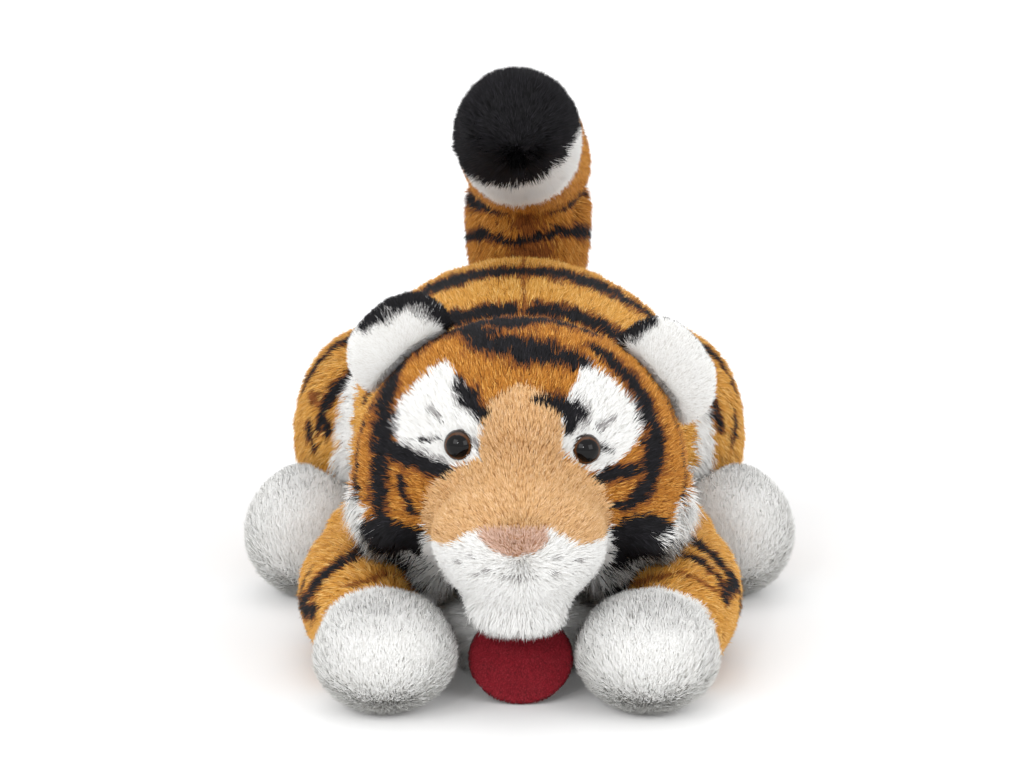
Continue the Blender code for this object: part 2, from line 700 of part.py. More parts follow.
def build_hind_paws(body, floor):
    """A hind paw turns about an upright axis at its ankle ball, which sits in the haunch."""
    for name, side in SIDES.items():
        ankle = Vector((side * HIND_PAW_OUT, HIND_PAW_BACK + ANKLE_BACK, ANKLE_HEIGHT))
        root = pivot("ankle_" + name + "_pivot", ankle)
        full_name = "hind_paw_" + name
        paw = add(full_name, hind_paw_form(side).mesh(full_name), WHITE, root)
        turns = (-side * HIND_PAW_SPREAD, -side * HIND_PAW_SPREAD / 2, 0)
        cut(paw, *swept(haunch_form(side), "haunch_space_" + name, ankle, "Z", turns))
        cut(paw, *swept(body_form(), "body_space_paw_" + name, ankle, "Z", turns))
        at = Matrix.Translation(ankle)
        join(paw, helper(ball_mesh("ankle_ball_" + name, ANKLE_RADIUS), root, at))
        cut(paw, floor)
        hollow = helper(socket_mesh("ankle_hollow_" + name, ANKLE_RADIUS), None, at)
        for piece in ("haunch_" + name, "back_cover", "belly_cover", "body_filling"):
            cut(body[piece], hollow)


def build_tail(body):
    """The stem sways on a ball in the rump, and the bend curls on a ball in the stem."""
    tail = tail_form()
    root_centre = tail.spine[0]
    sway = pivot("tail_sway_pivot", root_centre)
    curl_centre = eased(tail.spine, TAIL_CURL_SHARE)
    curl = pivot("tail_curl_pivot", curl_centre, sway)
    base = add("tail_base", tail.mesh("tail_base", end=TAIL_CURL_SHARE), ORANGE, sway)
    cut(base, *swept(body_form(), "body_space_tail", root_centre, "Y",
                     (-TAIL_SWAY, 0, TAIL_SWAY)))
    at_root = Matrix.Translation(root_centre)
    join(base, helper(ball_mesh("tail_root_ball", TAIL_ROOT_RADIUS), sway, at_root))
    hollow = helper(socket_mesh("tail_root_hollow", TAIL_ROOT_RADIUS), None, at_root)
    for piece in ("back_cover", "belly_cover", "body_filling"):
        cut(body[piece], hollow)

    length = sum((b - a).length for a, b in zip(tail.spine, tail.spine[1:]))
    gap_share = SEAM_GAP / length
    room = (TAIL_CREASE_SHARE * TAIL_RADIUS * math.sin(math.radians(TAIL_CURL)) + SEAM_GAP) / length
    bend = add("tail_bend", tail.mesh("tail_bend", start=TAIL_CURL_SHARE + room,
                                      end=TAIL_RING_SHARE), ORANGE, curl)
    at_curl = Matrix.Translation(curl_centre)
    join(bend, helper(ball_mesh("tail_curl_ball", TAIL_CURL_RADIUS), curl, at_curl))
    cut(base, helper(socket_mesh("tail_curl_hollow", TAIL_CURL_RADIUS), sway, at_curl))
    add("tail_ring", tail.mesh("tail_ring", start=TAIL_RING_SHARE + gap_share,
                               end=TAIL_TIP_SHARE), WHITE, curl)
    add("tail_tip", tail.mesh("tail_tip", start=TAIL_TIP_SHARE + gap_share), BLACK, curl)


def build_tag():
    """An oval felt tag that hangs from a tab on the chest and leans with its foot forward."""
    hinge = Vector((0, -TAG_TOP_AHEAD, TAG_TOP_HEIGHT))
    tab = Form([hinge + Vector((0, TAG_THICKNESS / 2, 0)),
                Vector((0, -TAB_ROOT_AHEAD, TAB_ROOT_HEIGHT))],
               TAB_HALF_WIDTH, TAB_HALF_THICKNESS, TAB_HALF_THICKNESS, end_power=8, rings=6,
               sides=12)
    cut(add("tag_tab", tab.mesh("tag_tab"), WHITE),
        helper(bib_form().mesh("bib_space", grow=SEAM_GAP)))
    flap = pivot("tag_flap_pivot", hinge)
    rings = []
    for y, edge in ((-TAG_THICKNESS / 2, TAG_EDGE), (-TAG_THICKNESS / 2 + TAG_EDGE, 0),
                    (TAG_THICKNESS / 2 - TAG_EDGE, 0), (TAG_THICKNESS / 2, TAG_EDGE)):
        turns = [2 * math.pi * side / TAG_SIDES for side in range(TAG_SIDES)]
        rings.append([Vector(((TAG_WIDTH / 2 - edge) * math.cos(t), y,
                              (TAG_LENGTH / 2 - edge) * math.sin(t) - TAG_LENGTH / 2))
                      for t in turns])
    lean = Matrix.Rotation(math.radians(-TAG_LEAN), 4, "X")
    add("tag", ring_mesh("tag", rings), FELT, flap, Matrix.Translation(hinge) @ lean)


def main():
    clear_scene()
    floor = floor_cutter()
    body = build_body(floor)
    nod, neck_hollow = build_neck(body)
    turn, face, filling = build_head(nod, neck_hollow)
    head_space = build_muzzle(turn, face)
    build_cheeks(turn, head_space)
    build_eyes(turn, face, filling)
    build_ears(turn)
    build_forelegs(body, floor)
    build_hind_paws(body, floor)
    build_tail(body)
    build_tag()
    turn.rotation_euler.y = math.radians(HEAD_ROLL)


main()
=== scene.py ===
import math
from dataclasses import dataclass

import bmesh
import bpy
import numpy as np
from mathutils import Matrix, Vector, noise
from mathutils.bvhtree import BVHTree
from mathutils.kdtree import KDTree


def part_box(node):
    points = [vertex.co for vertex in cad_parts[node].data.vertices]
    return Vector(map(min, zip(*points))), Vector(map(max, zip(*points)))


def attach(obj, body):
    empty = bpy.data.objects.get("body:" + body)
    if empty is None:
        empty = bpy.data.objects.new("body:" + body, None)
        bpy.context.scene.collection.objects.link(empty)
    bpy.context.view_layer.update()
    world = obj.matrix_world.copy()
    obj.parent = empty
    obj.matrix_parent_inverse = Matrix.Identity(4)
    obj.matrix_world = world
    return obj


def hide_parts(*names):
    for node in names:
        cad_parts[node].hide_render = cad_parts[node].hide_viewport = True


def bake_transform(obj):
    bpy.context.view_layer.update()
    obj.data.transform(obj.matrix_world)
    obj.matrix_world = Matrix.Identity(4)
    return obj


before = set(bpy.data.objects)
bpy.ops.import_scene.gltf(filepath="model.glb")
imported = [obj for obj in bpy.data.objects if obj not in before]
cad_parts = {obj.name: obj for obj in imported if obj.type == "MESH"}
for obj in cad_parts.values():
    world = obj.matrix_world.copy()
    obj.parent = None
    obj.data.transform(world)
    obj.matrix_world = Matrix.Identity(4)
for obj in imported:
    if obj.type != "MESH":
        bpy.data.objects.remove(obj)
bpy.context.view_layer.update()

# Plush tiger: stuffed skins grown from the CAD solids, each covered by strands of pile.
# Left and right are the tiger's own: it faces -Y, so its left is +X.

MM = 0.001

# Camera, found from the photograph
IMAGE_WIDTH = 1024
IMAGE_HEIGHT = 768
FOCAL_PIXELS = 2600.0
SENSOR_WIDTH = 36.0
CAMERA_PLACE = np.array((-0.0035, -1.1545, 0.307))
CAMERA_PITCH = math.radians(10.0)
FACE_DISTANCE = 1.07
PIXEL = FACE_DISTANCE / FOCAL_PIXELS

# Skins
VOXEL = 2.5 * MM
SMOOTHING_ROUNDS = 6
FLOOR_GAP = 0.4 * MM
CLOTH_VOXEL = 4.0 * MM
CLOTH_SHRINK = 0.4 * MM
CLOTH_CAP = 3.0 * MM
CLOTH_PRESSURE = 4.0
CLOTH_FRAMES = 20

# Pile
STRANDS_PER_AREA = 5.0e6
STRAND_WIDTH = 0.42 * MM
STRANDS_PER_PIECE = 64000
CLUMP_SPACING = 2.6 * MM
PATTERN_SHARE = 0.6

rng = np.random.default_rng(7)


# Colours of the pile, from its roots to its lightest tips

TONES = {
    "orange": ((110, 60, 16), (160, 96, 30), (196, 128, 46), (230, 170, 84)),
    "amber": ((140, 84, 24), (194, 130, 46), (224, 164, 74), (246, 202, 122)),
    "white": ((234, 232, 228), (244, 243, 240), (250, 250, 248), (254, 254, 253)),
    "black": ((7, 7, 9), (12, 11, 14), (20, 19, 23), (36, 34, 40)),
    "tan": ((182, 128, 76), (212, 162, 106), (230, 186, 132), (242, 206, 162)),
    "pink": ((196, 150, 126), (212, 172, 148), (222, 186, 164), (232, 202, 184)),
    "red": ((92, 6, 18), (122, 10, 26), (148, 22, 38), (172, 46, 58)),
    "rust": ((66, 34, 14), (104, 56, 24), (146, 84, 34), (176, 108, 48)),
    "grey": ((104, 100, 100), (140, 136, 136), (172, 169, 168), (200, 198, 197)),
}
TONE_COUNT = 4
SHADES = list(TONES)
SHADE_NUMBER = {name: number for number, name in enumerate(SHADES)}


def linear(rgb):
    """A colour of 0 to 255 as the linear colour that a shader takes."""
    parts = np.array(rgb, float) / 255.0
    low = parts / 12.92
    high = ((parts + 0.055) / 1.055) ** 2.4
    return tuple(np.where(parts <= 0.04045, low, high)) + (1.0,)


class Nodes:
    """Short calls for building the nodes of a material or of the world."""

    def __init__(self, owner, shader="Principled BSDF"):
        self.owner = owner
        owner.use_nodes = True
        self.tree = owner.node_tree
        self.shader = self.tree.nodes[shader]

    def add(self, kind, **values):
        node = self.tree.nodes.new(kind)
        for key, value in values.items():
            socket = key.replace("_", " ")
            if socket in node.inputs:
                node.inputs[socket].default_value = value
            else:
                setattr(node, key, value)
        return node

    def link(self, source, output, target, socket):
        self.tree.links.new(source.outputs[output], target.inputs[socket])

    def set(self, **values):
        for key, value in values.items():
            self.shader.inputs[key.replace("_", " ")].default_value = value


def new_material(name):
    return Nodes(bpy.data.materials.new(name))


def strand_material(shade, tone):
    """One tone of pile: its roughness wanders from lock to lock."""
    nodes = new_material(f"pile_{shade}_{tone}")
    nodes.set(Base_Color=linear(TONES[shade][tone]), Specular_IOR_Level=0.25)
    grain = nodes.add("ShaderNodeTexNoise", Scale=220.0, Detail=2.0)
    spread_out = nodes.add("ShaderNodeMapRange", To_Min=0.55, To_Max=0.85)
    place = nodes.add("ShaderNodeTexCoord")
    nodes.link(place, "Object", grain, "Vector")
    nodes.link(grain, "Fac", spread_out, "Value")
    nodes.link(spread_out, "Result", nodes.shader, "Roughness")
    return nodes.owner


def cloth_material(name, dark, light, scale=900.0, depth=0.4 * MM):
    """Backing cloth or felt: mottled colour, matte, with a fine matted relief."""
    nodes = new_material(name)
    nodes.set(Roughness=0.9, Specular_IOR_Level=0.2, Sheen_Weight=0.3)
    place = nodes.add("ShaderNodeTexCoord")
    grain = nodes.add("ShaderNodeTexNoise", Scale=scale, Detail=6.0)
    blotch = nodes.add("ShaderNodeTexNoise", Scale=scale / 9, Detail=3.0)
    mixed = nodes.add("ShaderNodeMath", operation="MULTIPLY")
    ramp = nodes.add("ShaderNodeValToRGB")
    for element, position, colour in zip(ramp.color_ramp.elements, (0.15, 0.38), (dark, light)):
        element.position = position
        element.color = linear(colour)
    bump = nodes.add("ShaderNodeBump", Strength=0.8, Distance=depth)
    nodes.link(place, "Object", grain, "Vector")
    nodes.link(place, "Object", blotch, "Vector")
    nodes.link(grain, "Fac", mixed, 0)
    nodes.link(blotch, "Fac", mixed, 1)
    nodes.link(mixed, "Value", ramp, "Fac")
    nodes.link(ramp, "Color", nodes.shader, "Base Color")
    nodes.link(grain, "Fac", bump, "Height")
    nodes.link(bump, "Normal", nodes.shader, "Normal")
    return nodes.owner


# Camera helpers

def pixels_of(points):
    """Where points of the row frame fall in the photograph's pixels."""
    away = points - CAMERA_PLACE
    depth = away[:, 1] * math.cos(CAMERA_PITCH) - away[:, 2] * math.sin(CAMERA_PITCH)
    rise = away[:, 1] * math.sin(CAMERA_PITCH) + away[:, 2] * math.cos(CAMERA_PITCH)
    across = IMAGE_WIDTH / 2 + FOCAL_PIXELS * away[:, 0] / depth
    down = IMAGE_HEIGHT / 2 - FOCAL_PIXELS * rise / depth
    return np.column_stack((across, down))


def ray_of(across, down):
    """The direction in which the camera sees a pixel."""
    x = (across - IMAGE_WIDTH / 2) / FOCAL_PIXELS
    z = -(down - IMAGE_HEIGHT / 2) / FOCAL_PIXELS
    y = math.cos(CAMERA_PITCH) + z * math.sin(CAMERA_PITCH)
    rise = z * math.cos(CAMERA_PITCH) - math.sin(CAMERA_PITCH)
    return Vector((x, y, rise)).normalized()


# Meshes

def to_object(name, mesh):
    obj = bpy.data.objects.new(name, mesh)
    bpy.context.scene.collection.objects.link(obj)
    return obj


def values_of(items, field, kind=float):
    """Three values for each of a mesh's items, as rows."""
    flat = np.zeros(len(items) * 3, kind)
    items.foreach_get(field, flat)
    return flat.reshape(-1, 3)


def points_of(mesh):
    return values_of(mesh.vertices, "co")


def normals_of(mesh):
    return values_of(mesh.vertices, "normal")


def triangles_of(mesh):
    mesh.calc_loop_triangles()
    return values_of(mesh.loop_triangles, "vertices", np.int32)


def unit(vectors):
    return vectors / np.maximum(np.linalg.norm(vectors, axis=-1, keepdims=True), 1e-9)


def tree_of(mesh):
    return BVHTree.FromPolygons(points_of(mesh).tolist(), triangles_of(mesh).tolist())


def largest_part(mesh):
    """Drops every loose part of the mesh but the largest."""
    bm = bmesh.new()
    bm.from_mesh(mesh)
    left = set(bm.verts)
    parts = []
    while left:
        stack = [left.pop()]
        part = list(stack)
        while stack:
            vertex = stack.pop()
            for edge in vertex.link_edges:
                other = edge.other_vert(vertex)
                if other in left:
                    left.remove(other)
                    stack.append(other)
                    part.append(other)
        parts.append(part)
    parts.sort(key=len)
    for part in parts[:-1]:
        bmesh.ops.delete(bm, geom=part, context="VERTS")
    bm.to_mesh(mesh)
    bm.free()


def remeshed(name, nodes, voxel=VOXEL, rounds=SMOOTHING_ROUNDS):
    """One smooth closed mesh round the solids of these CAD nodes."""
    bm = bmesh.new()
    for node in nodes:
        bm.from_mesh(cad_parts[node].data)
    mesh = bpy.data.meshes.new(name)
    bm.to_mesh(mesh)
    bm.free()
    obj = to_object(name, mesh)
    remesh = obj.modifiers.new("remesh", "REMESH")
    remesh.mode = "VOXEL"
    remesh.voxel_size = voxel
    smooth = obj.modifiers.new("smooth", "SMOOTH")
    smooth.iterations = rounds
    graph = bpy.context.evaluated_depsgraph_get()
    mesh = bpy.data.meshes.new_from_object(obj.evaluated_get(graph))
    obj.modifiers.clear()
    obj.data = mesh
    largest_part(mesh)
    mesh.shade_smooth()
    return obj


# Coats: the pile on each CAD node

@dataclass
class Coat:
    shade: str
    length: float
    lean: float
    source: tuple = None
    drift: tuple = (0.0, 0.0, 0.0)
    bed: float = None
    density: float = 1.0

    def flow(self, points):
        """The way in which the pile is brushed at these points."""
        side = np.sign(points[:, :1])
        drift = np.array(self.drift) * np.hstack((side, np.ones((len(points), 2))))
        if self.source is None:
            return drift
        return unit(points - np.array(self.source)) + drift


def middle_of(node):
    low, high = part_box(node)
    return tuple((low + high) / 2)


NOSE_PLACE = middle_of("nose")
NOSE_DEEP = (NOSE_PLACE[0], NOSE_PLACE[1] + 0.010, NOSE_PLACE[2] - 0.012)
TIP_PLACE = middle_of("tail_tip")
TIP_DEEP = (TIP_PLACE[0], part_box("tail_tip")[0].y + 0.012, TIP_PLACE[2] - 0.010)
COATS = {
    "face_cover": Coat("orange", 6.0 * MM, 60, NOSE_DEEP, (0.0, 0.2, 0.0)),
    "head_back_cover": Coat("orange", 7.0 * MM, 62, NOSE_PLACE, (0.0, 0.5, -0.3)),
    "nose_bridge": Coat("tan", 4.5 * MM, 62, NOSE_DEEP, (0.0, 0.0, 0.4)),
    "muzzle_top": Coat("tan", 4.5 * MM, 60, NOSE_DEEP, (0.2, 0.2, 0.3)),
    "muzzle_lower": Coat("white", 5.0 * MM, 58, NOSE_DEEP, (0.2, 0.1, -0.2)),
    "nose": Coat("pink", 2.6 * MM, 60, NOSE_DEEP, (0.0, 0.0, 0.2), 0.6 * MM, 1.4),
    "chin": Coat("white", 9.0 * MM, 54, None, (0.3, 0.1, -1.0)),
    "back_cover": Coat("amber", 7.5 * MM, 62, None, (0.1, 1.0, -0.2)),
    "belly_cover": Coat("white", 7.5 * MM, 58, None, (0.2, 0.5, -1.0), None, 0.6),
    "chest_bib": Coat("white", 15.0 * MM, 46, None, (0.7, -0.1, -1.0), 4.0 * MM),
    "neck": Coat("orange", 11.0 * MM, 46, None, (0.0, 1.0, 0.0), 1.0 * MM, 0.8),
    "tail_base": Coat("orange", 8.0 * MM, 54, None, (0.3, 0.3, -1.0)),
    "tail_bend": Coat("orange", 8.0 * MM, 54, None, (0.3, 0.6, -0.8)),
    "tail_ring": Coat("white", 6.0 * MM, 62, None, (0.0, 1.0, 0.2)),
    "tail_tip": Coat("black", 8.5 * MM, 32, TIP_DEEP, (0.0, 0.2, 0.0), 3.0 * MM),
}
for side in ("left", "right"):
    COATS[f"cheek_tuft_{side}"] = Coat("black", 11.0 * MM, 54, None, (0.7, 0.1, -1.0))
    COATS[f"haunch_{side}"] = Coat("amber", 7.5 * MM, 60, None, (0.3, 0.4, -1.0))
    COATS[f"foreleg_{side}"] = Coat("amber", 7.0 * MM, 62, None, (0.8, 0.4, -0.5))
    for paw in (f"front_paw_{side}", f"hind_paw_{side}"):
        x, y, _ = middle_of(paw)
        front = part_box(paw)[0].y
        COATS[paw] = Coat("white", 5.4 * MM, 61, (x, front + (y - front) * 0.8, -0.02), bed=1.2 * MM,
                          density=1.25)
    for ear, shade in ((f"ear_front_{side}", "white"), (f"ear_back_{side}", "black")):
        x, y, z = middle_of(ear)
        COATS[ear] = Coat(shade, 3.2 * MM, 62, (x * 0.7, y - 0.02, z - 0.03), (0.0, 0.2, 0.0), density=1.5)

# The white fringe under the cheeks: where it grows on the head, and how far towards its back
RUFF = Coat("white", 17.0 * MM, 48, None, (0.6, -0.1, -1.0), 4.0 * MM)
RUFF_TOP = 0.080
RUFF_UNDER = 0.054
RUFF_INNER = 0.026
RUFF_FACING = -0.4
BED_SHARE = 0.32


def bed_of(coat):
    """How far the skin lies under the solid's surface, so that the pile fills the solid's outline."""
    return coat.length * BED_SHARE if coat.bed is None else coat.bed


# Marks: stripes and patches, from what lies below to what lies on top. Points of two numbers are
# pixels of the photograph, and points of three are places in metres. Widths are half widths in pixels.

@dataclass
class Stroke:
    shade: str
    points: tuple
    widths: tuple


@dataclass
class Patch:
    shade: str
    outline: tuple
    feather: float = 3.0
    behind: float = 1.0


HEAD_MARKS = [
    Patch("white", ((447, 360), (424, 376), (400, 402), (391, 425), (400, 446), (424, 458),
                    (452, 466), (483, 458), (486, 432), (474, 404), (462, 380))),
    Patch("white", ((584, 360), (612, 380), (636, 404), (643, 424), (634, 446), (616, 462),
                    (597, 474), (566, 456), (556, 434), (566, 402), (576, 380))),
    # Painted shade: grey smudges just above each eye that darken the white eye patches there
    Stroke("grey", ((432, 410), (442, 418)), (3.0, 2.0)),
    Stroke("grey", ((597, 428), (611, 420)), (3.0, 2.0)),
    Stroke("black", ((424, 441), (442, 438)), (1.5, 1.5)),
    Stroke("black", ((596, 446), (610, 452)), (1.5, 1.5)),
    Stroke("black", ((450, 334), (490, 328), (545, 326), (590, 332)), (10, 16, 14, 7)),
    Stroke("black", ((474, 332), (484, 346)), (12, 12)),
    Stroke("black", ((484, 348), (530, 353), (580, 364)), (9, 13, 7)),
    Stroke("black", ((444, 333), (424, 344), (408, 362), (394, 388), (387, 414), (386, 440), (384, 466),
                     (382, 492), (386, 522)), (8, 10, 12, 13, 13, 12, 11, 10, 8)),
    Stroke("black", ((590, 352), (611, 366), (631, 388), (645, 412), (651, 438), (650, 464), (641, 490),
                     (622, 506)), (5, 8, 10, 11, 11, 10, 8, 5)),
    Stroke("black", ((392, 450), (414, 460), (436, 468), (452, 472)), (8, 9, 8, 4)),
    Stroke("black", ((590, 480), (606, 476), (634, 466)), (3, 6, 5)),
    Stroke("grey", ((478, 440), (482, 456)), (2.5, 2.5)),
    Stroke("black", ((404, 476), (406, 492), (416, 510)), (3, 4, 3)),
    Stroke("black", ((636, 492), (624, 502), (608, 505)), (2, 4, 2)),
    Patch("black", ((366, 524), (384, 516), (404, 524), (424, 528), (440, 548), (454, 576), (430, 584),
                    (404, 576), (380, 558), (364, 540)), 6.0),
    Patch("black", ((672, 522), (650, 512), (628, 516), (606, 530), (596, 556), (586, 580), (610, 590),
                    (640, 582), (664, 562), (678, 538)), 6.0),
    Stroke("white", ((352, 508), (362, 542), (384, 568), (410, 584), (440, 598)), (5, 6, 6, 6, 6)),
    Stroke("white", ((690, 508), (682, 538), (668, 564), (640, 586), (604, 602)), (5, 6, 6, 6, 6)),
    Stroke("black", ((377, 376), (368, 398), (360, 424), (356, 450), (354, 476), (355, 500)),
           (3, 3, 3, 3, 3, 3)),
    Stroke("black", ((653, 372), (671, 408), (684, 446), (688, 476), (686, 500)), (2, 2, 2, 2, 2)),
    Stroke("black", ((-0.052, -0.088, 0.122), (-0.03, -0.078, 0.142), (0.0, -0.074, 0.149),
                     (0.03, -0.078, 0.142), (0.052, -0.088, 0.118)), (4, 7, 8, 7, 4)),
    Stroke("black", ((-0.056, -0.068, 0.100), (-0.034, -0.060, 0.130), (-0.004, -0.057, 0.142)), (4, 7, 4)),
    Stroke("black", ((0.056, -0.068, 0.098), (0.034, -0.060, 0.128), (0.006, -0.057, 0.142)), (4, 7, 4)),
    Patch("tan", ((492, 412), (520, 404), (552, 410), (564, 430), (558, 452), (580, 466), (604, 486),
                  (613, 512), (604, 538), (584, 546), (564, 536), (548, 528), (480, 528), (462, 536),
                  (444, 546), (428, 538), (421, 512), (430, 486), (452, 470), (480, 458), (480, 430))),
    Patch("white", ((421, 522), (428, 538), (444, 546), (462, 536), (480, 528), (548, 528), (564, 536),
                    (584, 546), (604, 538), (613, 522), (612, 560), (600, 582), (582, 600), (578, 644),
                    (520, 652), (456, 644), (454, 600), (436, 584), (424, 560))),
    Patch("pink", ((481, 527), (546, 527), (549, 540), (536, 553), (514, 557), (492, 551), (478, 538))),
]
WHISKER_DOTS = ((459, 560), (471, 554), (444, 565), (477, 572), (485, 568), (554, 556), (553, 572),
                (576, 559))
HEAD_MARKS += [Stroke("grey", ((x, y), (x + 3, y + 1)), (1.8, 1.5)) for x, y in WHISKER_DOTS]
HEAD_MARKS += [
    # Painted shadow: a thin grey line under the nose where the mouth's fold lies
    Stroke("grey", ((500, 574), (519, 578), (538, 574)), (0.8, 1.6, 0.8)),
    Stroke("black", ((461, 386), (470, 400), (486, 416)), (5, 9, 5)),
    Stroke("black", ((536, 402), (556, 405), (576, 414)), (4, 8, 8)),
    Stroke("black", ((572, 416), (566, 430)), (6, 4)),
]


BACK_WIDE = 0.095
BACK_HIGH = 0.090
BACK_MIDDLE = 0.062


def over_back(y, start, end, sweep, widths):
    """A stripe over the body at a place along it, from one angle off its ridge to another."""
    points = []
    for step in range(4):
        angle = math.radians(start + (end - start) * step / 3)
        reach = math.sin(angle)
        points.append((BACK_WIDE * reach, y + sweep * abs(reach), BACK_MIDDLE + BACK_HIGH * math.cos(angle)))
    return Stroke("black", tuple(points), widths)


TORSO_MARKS = [
    Stroke("rust", ((0.002, 0.12, 0.14), (0.002, 0.06, 0.15), (0.002, -0.02, 0.145)), (2, 2, 2)),
    Stroke("white", ((356, 380), (350, 430), (346, 480), (344, 530)), (9, 12, 15, 18)),
    Stroke("white", ((700, 400), (700, 450), (700, 500), (698, 556)), (9, 12, 15, 18)),
    Stroke("rust", ((318, 396), (324, 406)), (6, 6)),
    Stroke("black", ((326, 416), (332, 424), (331, 434)), (4, 6, 4)),
    Stroke("black", ((314, 424), (316, 436), (320, 446)), (4, 6, 4)),
    Stroke("black", ((728, 414), (729, 427), (726, 440)), (4, 5, 4)),
]
for side in (-1, 1):
    for y, start, end, sweep, widths in (
        (0.052, 3, 76, 0.020, (20, 24, 11, 5)),
        (-0.003, 3, 66, 0.014, (11, 14, 8, 4)),
        (0.026, 50, 82, 0.014, (3, 6, 7, 4)),
        (0.112, 26, 60, 0.010, (4, 8, 8, 4)),
        (0.134, 38, 78, 0.006, (4, 8, 8, 4)),
    ):
        TORSO_MARKS.append(over_back(y, side * start, side * end, sweep, widths))
    for y, top, foot in ((0.106, 0.104, 0.050), (0.130, 0.092, 0.054)):
        TORSO_MARKS.append(Stroke("black", ((side * 0.10, y - 0.010, top), (side * 0.112, y, (top + foot) / 2),
                                            (side * 0.108, y + 0.010, foot)), (5, 8, 4)))
TAIL_MARKS = [
    Stroke("rust", ((0.006, 0.118, 0.150), (0.006, 0.118, 0.140)), (18, 22)),
    Stroke("rust", ((0.004, 0.120, 0.166), (0.006, 0.120, 0.160)), (12, 16)),
    Stroke("black", ((-0.026, 0.150, 0.153), (-0.020, 0.128, 0.156), (-0.006, 0.119, 0.151),
                     (0.008, 0.118, 0.154), (0.022, 0.122, 0.158), (0.034, 0.140, 0.156),
                     (0.034, 0.158, 0.154), (0.020, 0.178, 0.152), (0.004, 0.184, 0.150),
                     (-0.014, 0.178, 0.152), (-0.026, 0.150, 0.153)), (5, 5, 5, 4, 5, 6, 6, 7, 7, 6, 5)),
    Stroke("black", ((-0.026, 0.152, 0.172), (-0.022, 0.130, 0.171), (-0.006, 0.120, 0.167)), (6, 6, 3)),
    Stroke("black", ((0.014, 0.121, 0.170), (0.026, 0.128, 0.174), (0.034, 0.150, 0.178)), (3, 5, 6)),
    Stroke("black", ((-0.026, 0.150, 0.130), (0.006, 0.182, 0.126), (0.034, 0.150, 0.130)), (5, 7, 5)),
    Stroke("black", ((0.034, 0.150, 0.185), (0.02, 0.168, 0.196), (-0.012, 0.168, 0.196),
                     (-0.026, 0.150, 0.185)), (6, 7, 7, 6)),
    Stroke("black", ((0.034, 0.126, 0.205), (0.018, 0.134, 0.226), (-0.010, 0.134, 0.226),
                     (-0.026, 0.126, 0.205)), (5, 7, 7, 5)),
    Patch("white", ((450, 150), (462, 170), (486, 181), (512, 185), (540, 177), (562, 158), (576, 130),
                    (588, 132), (586, 160), (566, 188), (540, 201), (510, 206), (476, 200), (452, 184)),
          5.0, 0.10),
]
LEG_MARKS = [
    Stroke("black", ((392, 546), (360, 558), (330, 578), (304, 612)), (5, 7, 8, 6)),
    Stroke("rust", ((420, 590), (384, 580), (350, 592)), (3, 4, 3)),
    Stroke("black", ((690, 508), (712, 530), (732, 560)), (4, 6, 5)),
    Stroke("black", ((682, 542), (708, 560), (734, 590)), (4, 7, 6)),
    Stroke("rust", ((640, 590), (680, 578), (712, 596)), (3, 4, 3)),
]
EAR_RIGHT_MARKS = [
    Stroke("black", ((352, 318), (372, 302), (396, 296), (424, 300), (454, 322)), (6, 8, 9, 9, 8)),
]
EAR_LEFT_MARKS = [
    Stroke("black", ((596, 318), (622, 312), (650, 316)), (5, 7, 5)),
]
for side in (-1, 1):
    for y in (-0.094, -0.058):
        LEG_MARKS.append(Stroke("black", ((side * 0.090, y - 0.004, 0.042), (side * 0.094, y, 0.028),
                                          (side * 0.086, y + 0.006, 0.008)), (3, 6, 4)))


def cast(tree, point):
    """The spot of a skin at a pixel, or nearest to a point in space."""
    if len(point) == 2:
        ray = ray_of(*point)
        hit = tree.ray_cast(Vector(CAMERA_PLACE), ray)[0]
        if hit is not None:
            return np.array(hit)
        edge = Vector(CAMERA_PLACE) + ray * FACE_DISTANCE
        return np.array(tree.find_nearest(edge)[0])
    return np.array(tree.find_nearest(Vector(point))[0])


# How far a mark reaches through a skin, how much wider it grows than drawn, and how its edges fray
REACH = 14 * MM
MARK_SPREAD = 1.3
MARK_JITTER = 0.5 * MM
WANDER_SCALE = 6 * MM
WANDER_SHARE = 0.6
FAR = 9.0
STROKE_STEPS = 5
FRONT_FACING = 0.35


def along_stroke(stroke, tree):
    """A stroke's line of spots on the skin, with its half width at each."""
    points, widths = [], []
    full = [width * MARK_SPREAD for width in stroke.widths]
    for number in range(len(stroke.points) - 1):
        first, last = stroke.points[number], stroke.points[number + 1]
        for step in range(STROKE_STEPS):
            share = step / STROKE_STEPS
            spot = tuple(a + (b - a) * share for a, b in zip(first, last))
            points.append(cast(tree, spot))
            width = full[number] + (full[number + 1] - full[number]) * share
            widths.append(width * PIXEL)
    points.append(cast(tree, stroke.points[-1]))
    widths.append(full[-1] * PIXEL)
    return np.array(points), np.array(widths)


def near_stroke(stroke, tree, spots, normals):
    """How many half widths each spot lies from a stroke, measured along the surface."""
    line, widths = along_stroke(stroke, tree)
    nearest = np.full(len(spots), FAR)
    margin = widths.max() * 2.5 + REACH
    low, high = line.min(0) - margin, line.max(0) + margin
    close = np.nonzero(np.all((spots > low) & (spots < high), axis=1))[0]
    if not len(close):
        return nearest
    p, n = spots[close], normals[close]
    best = np.full(len(close), FAR)
    for number in range(len(line) - 1):
        start, run = line[number], line[number + 1] - line[number]
        share = np.clip((p - start) @ run / max(run @ run, 1e-12), 0, 1)
        away = p - start - share[:, None] * run
        lift = (away * n).sum(1)
        flat = np.sqrt(np.maximum((away**2).sum(1) - lift**2, 0))
        width = widths[number] + (widths[number + 1] - widths[number]) * share
        best = np.minimum(best, np.where(np.abs(lift) < REACH, flat / width, FAR))
    nearest[close] = best
    return nearest


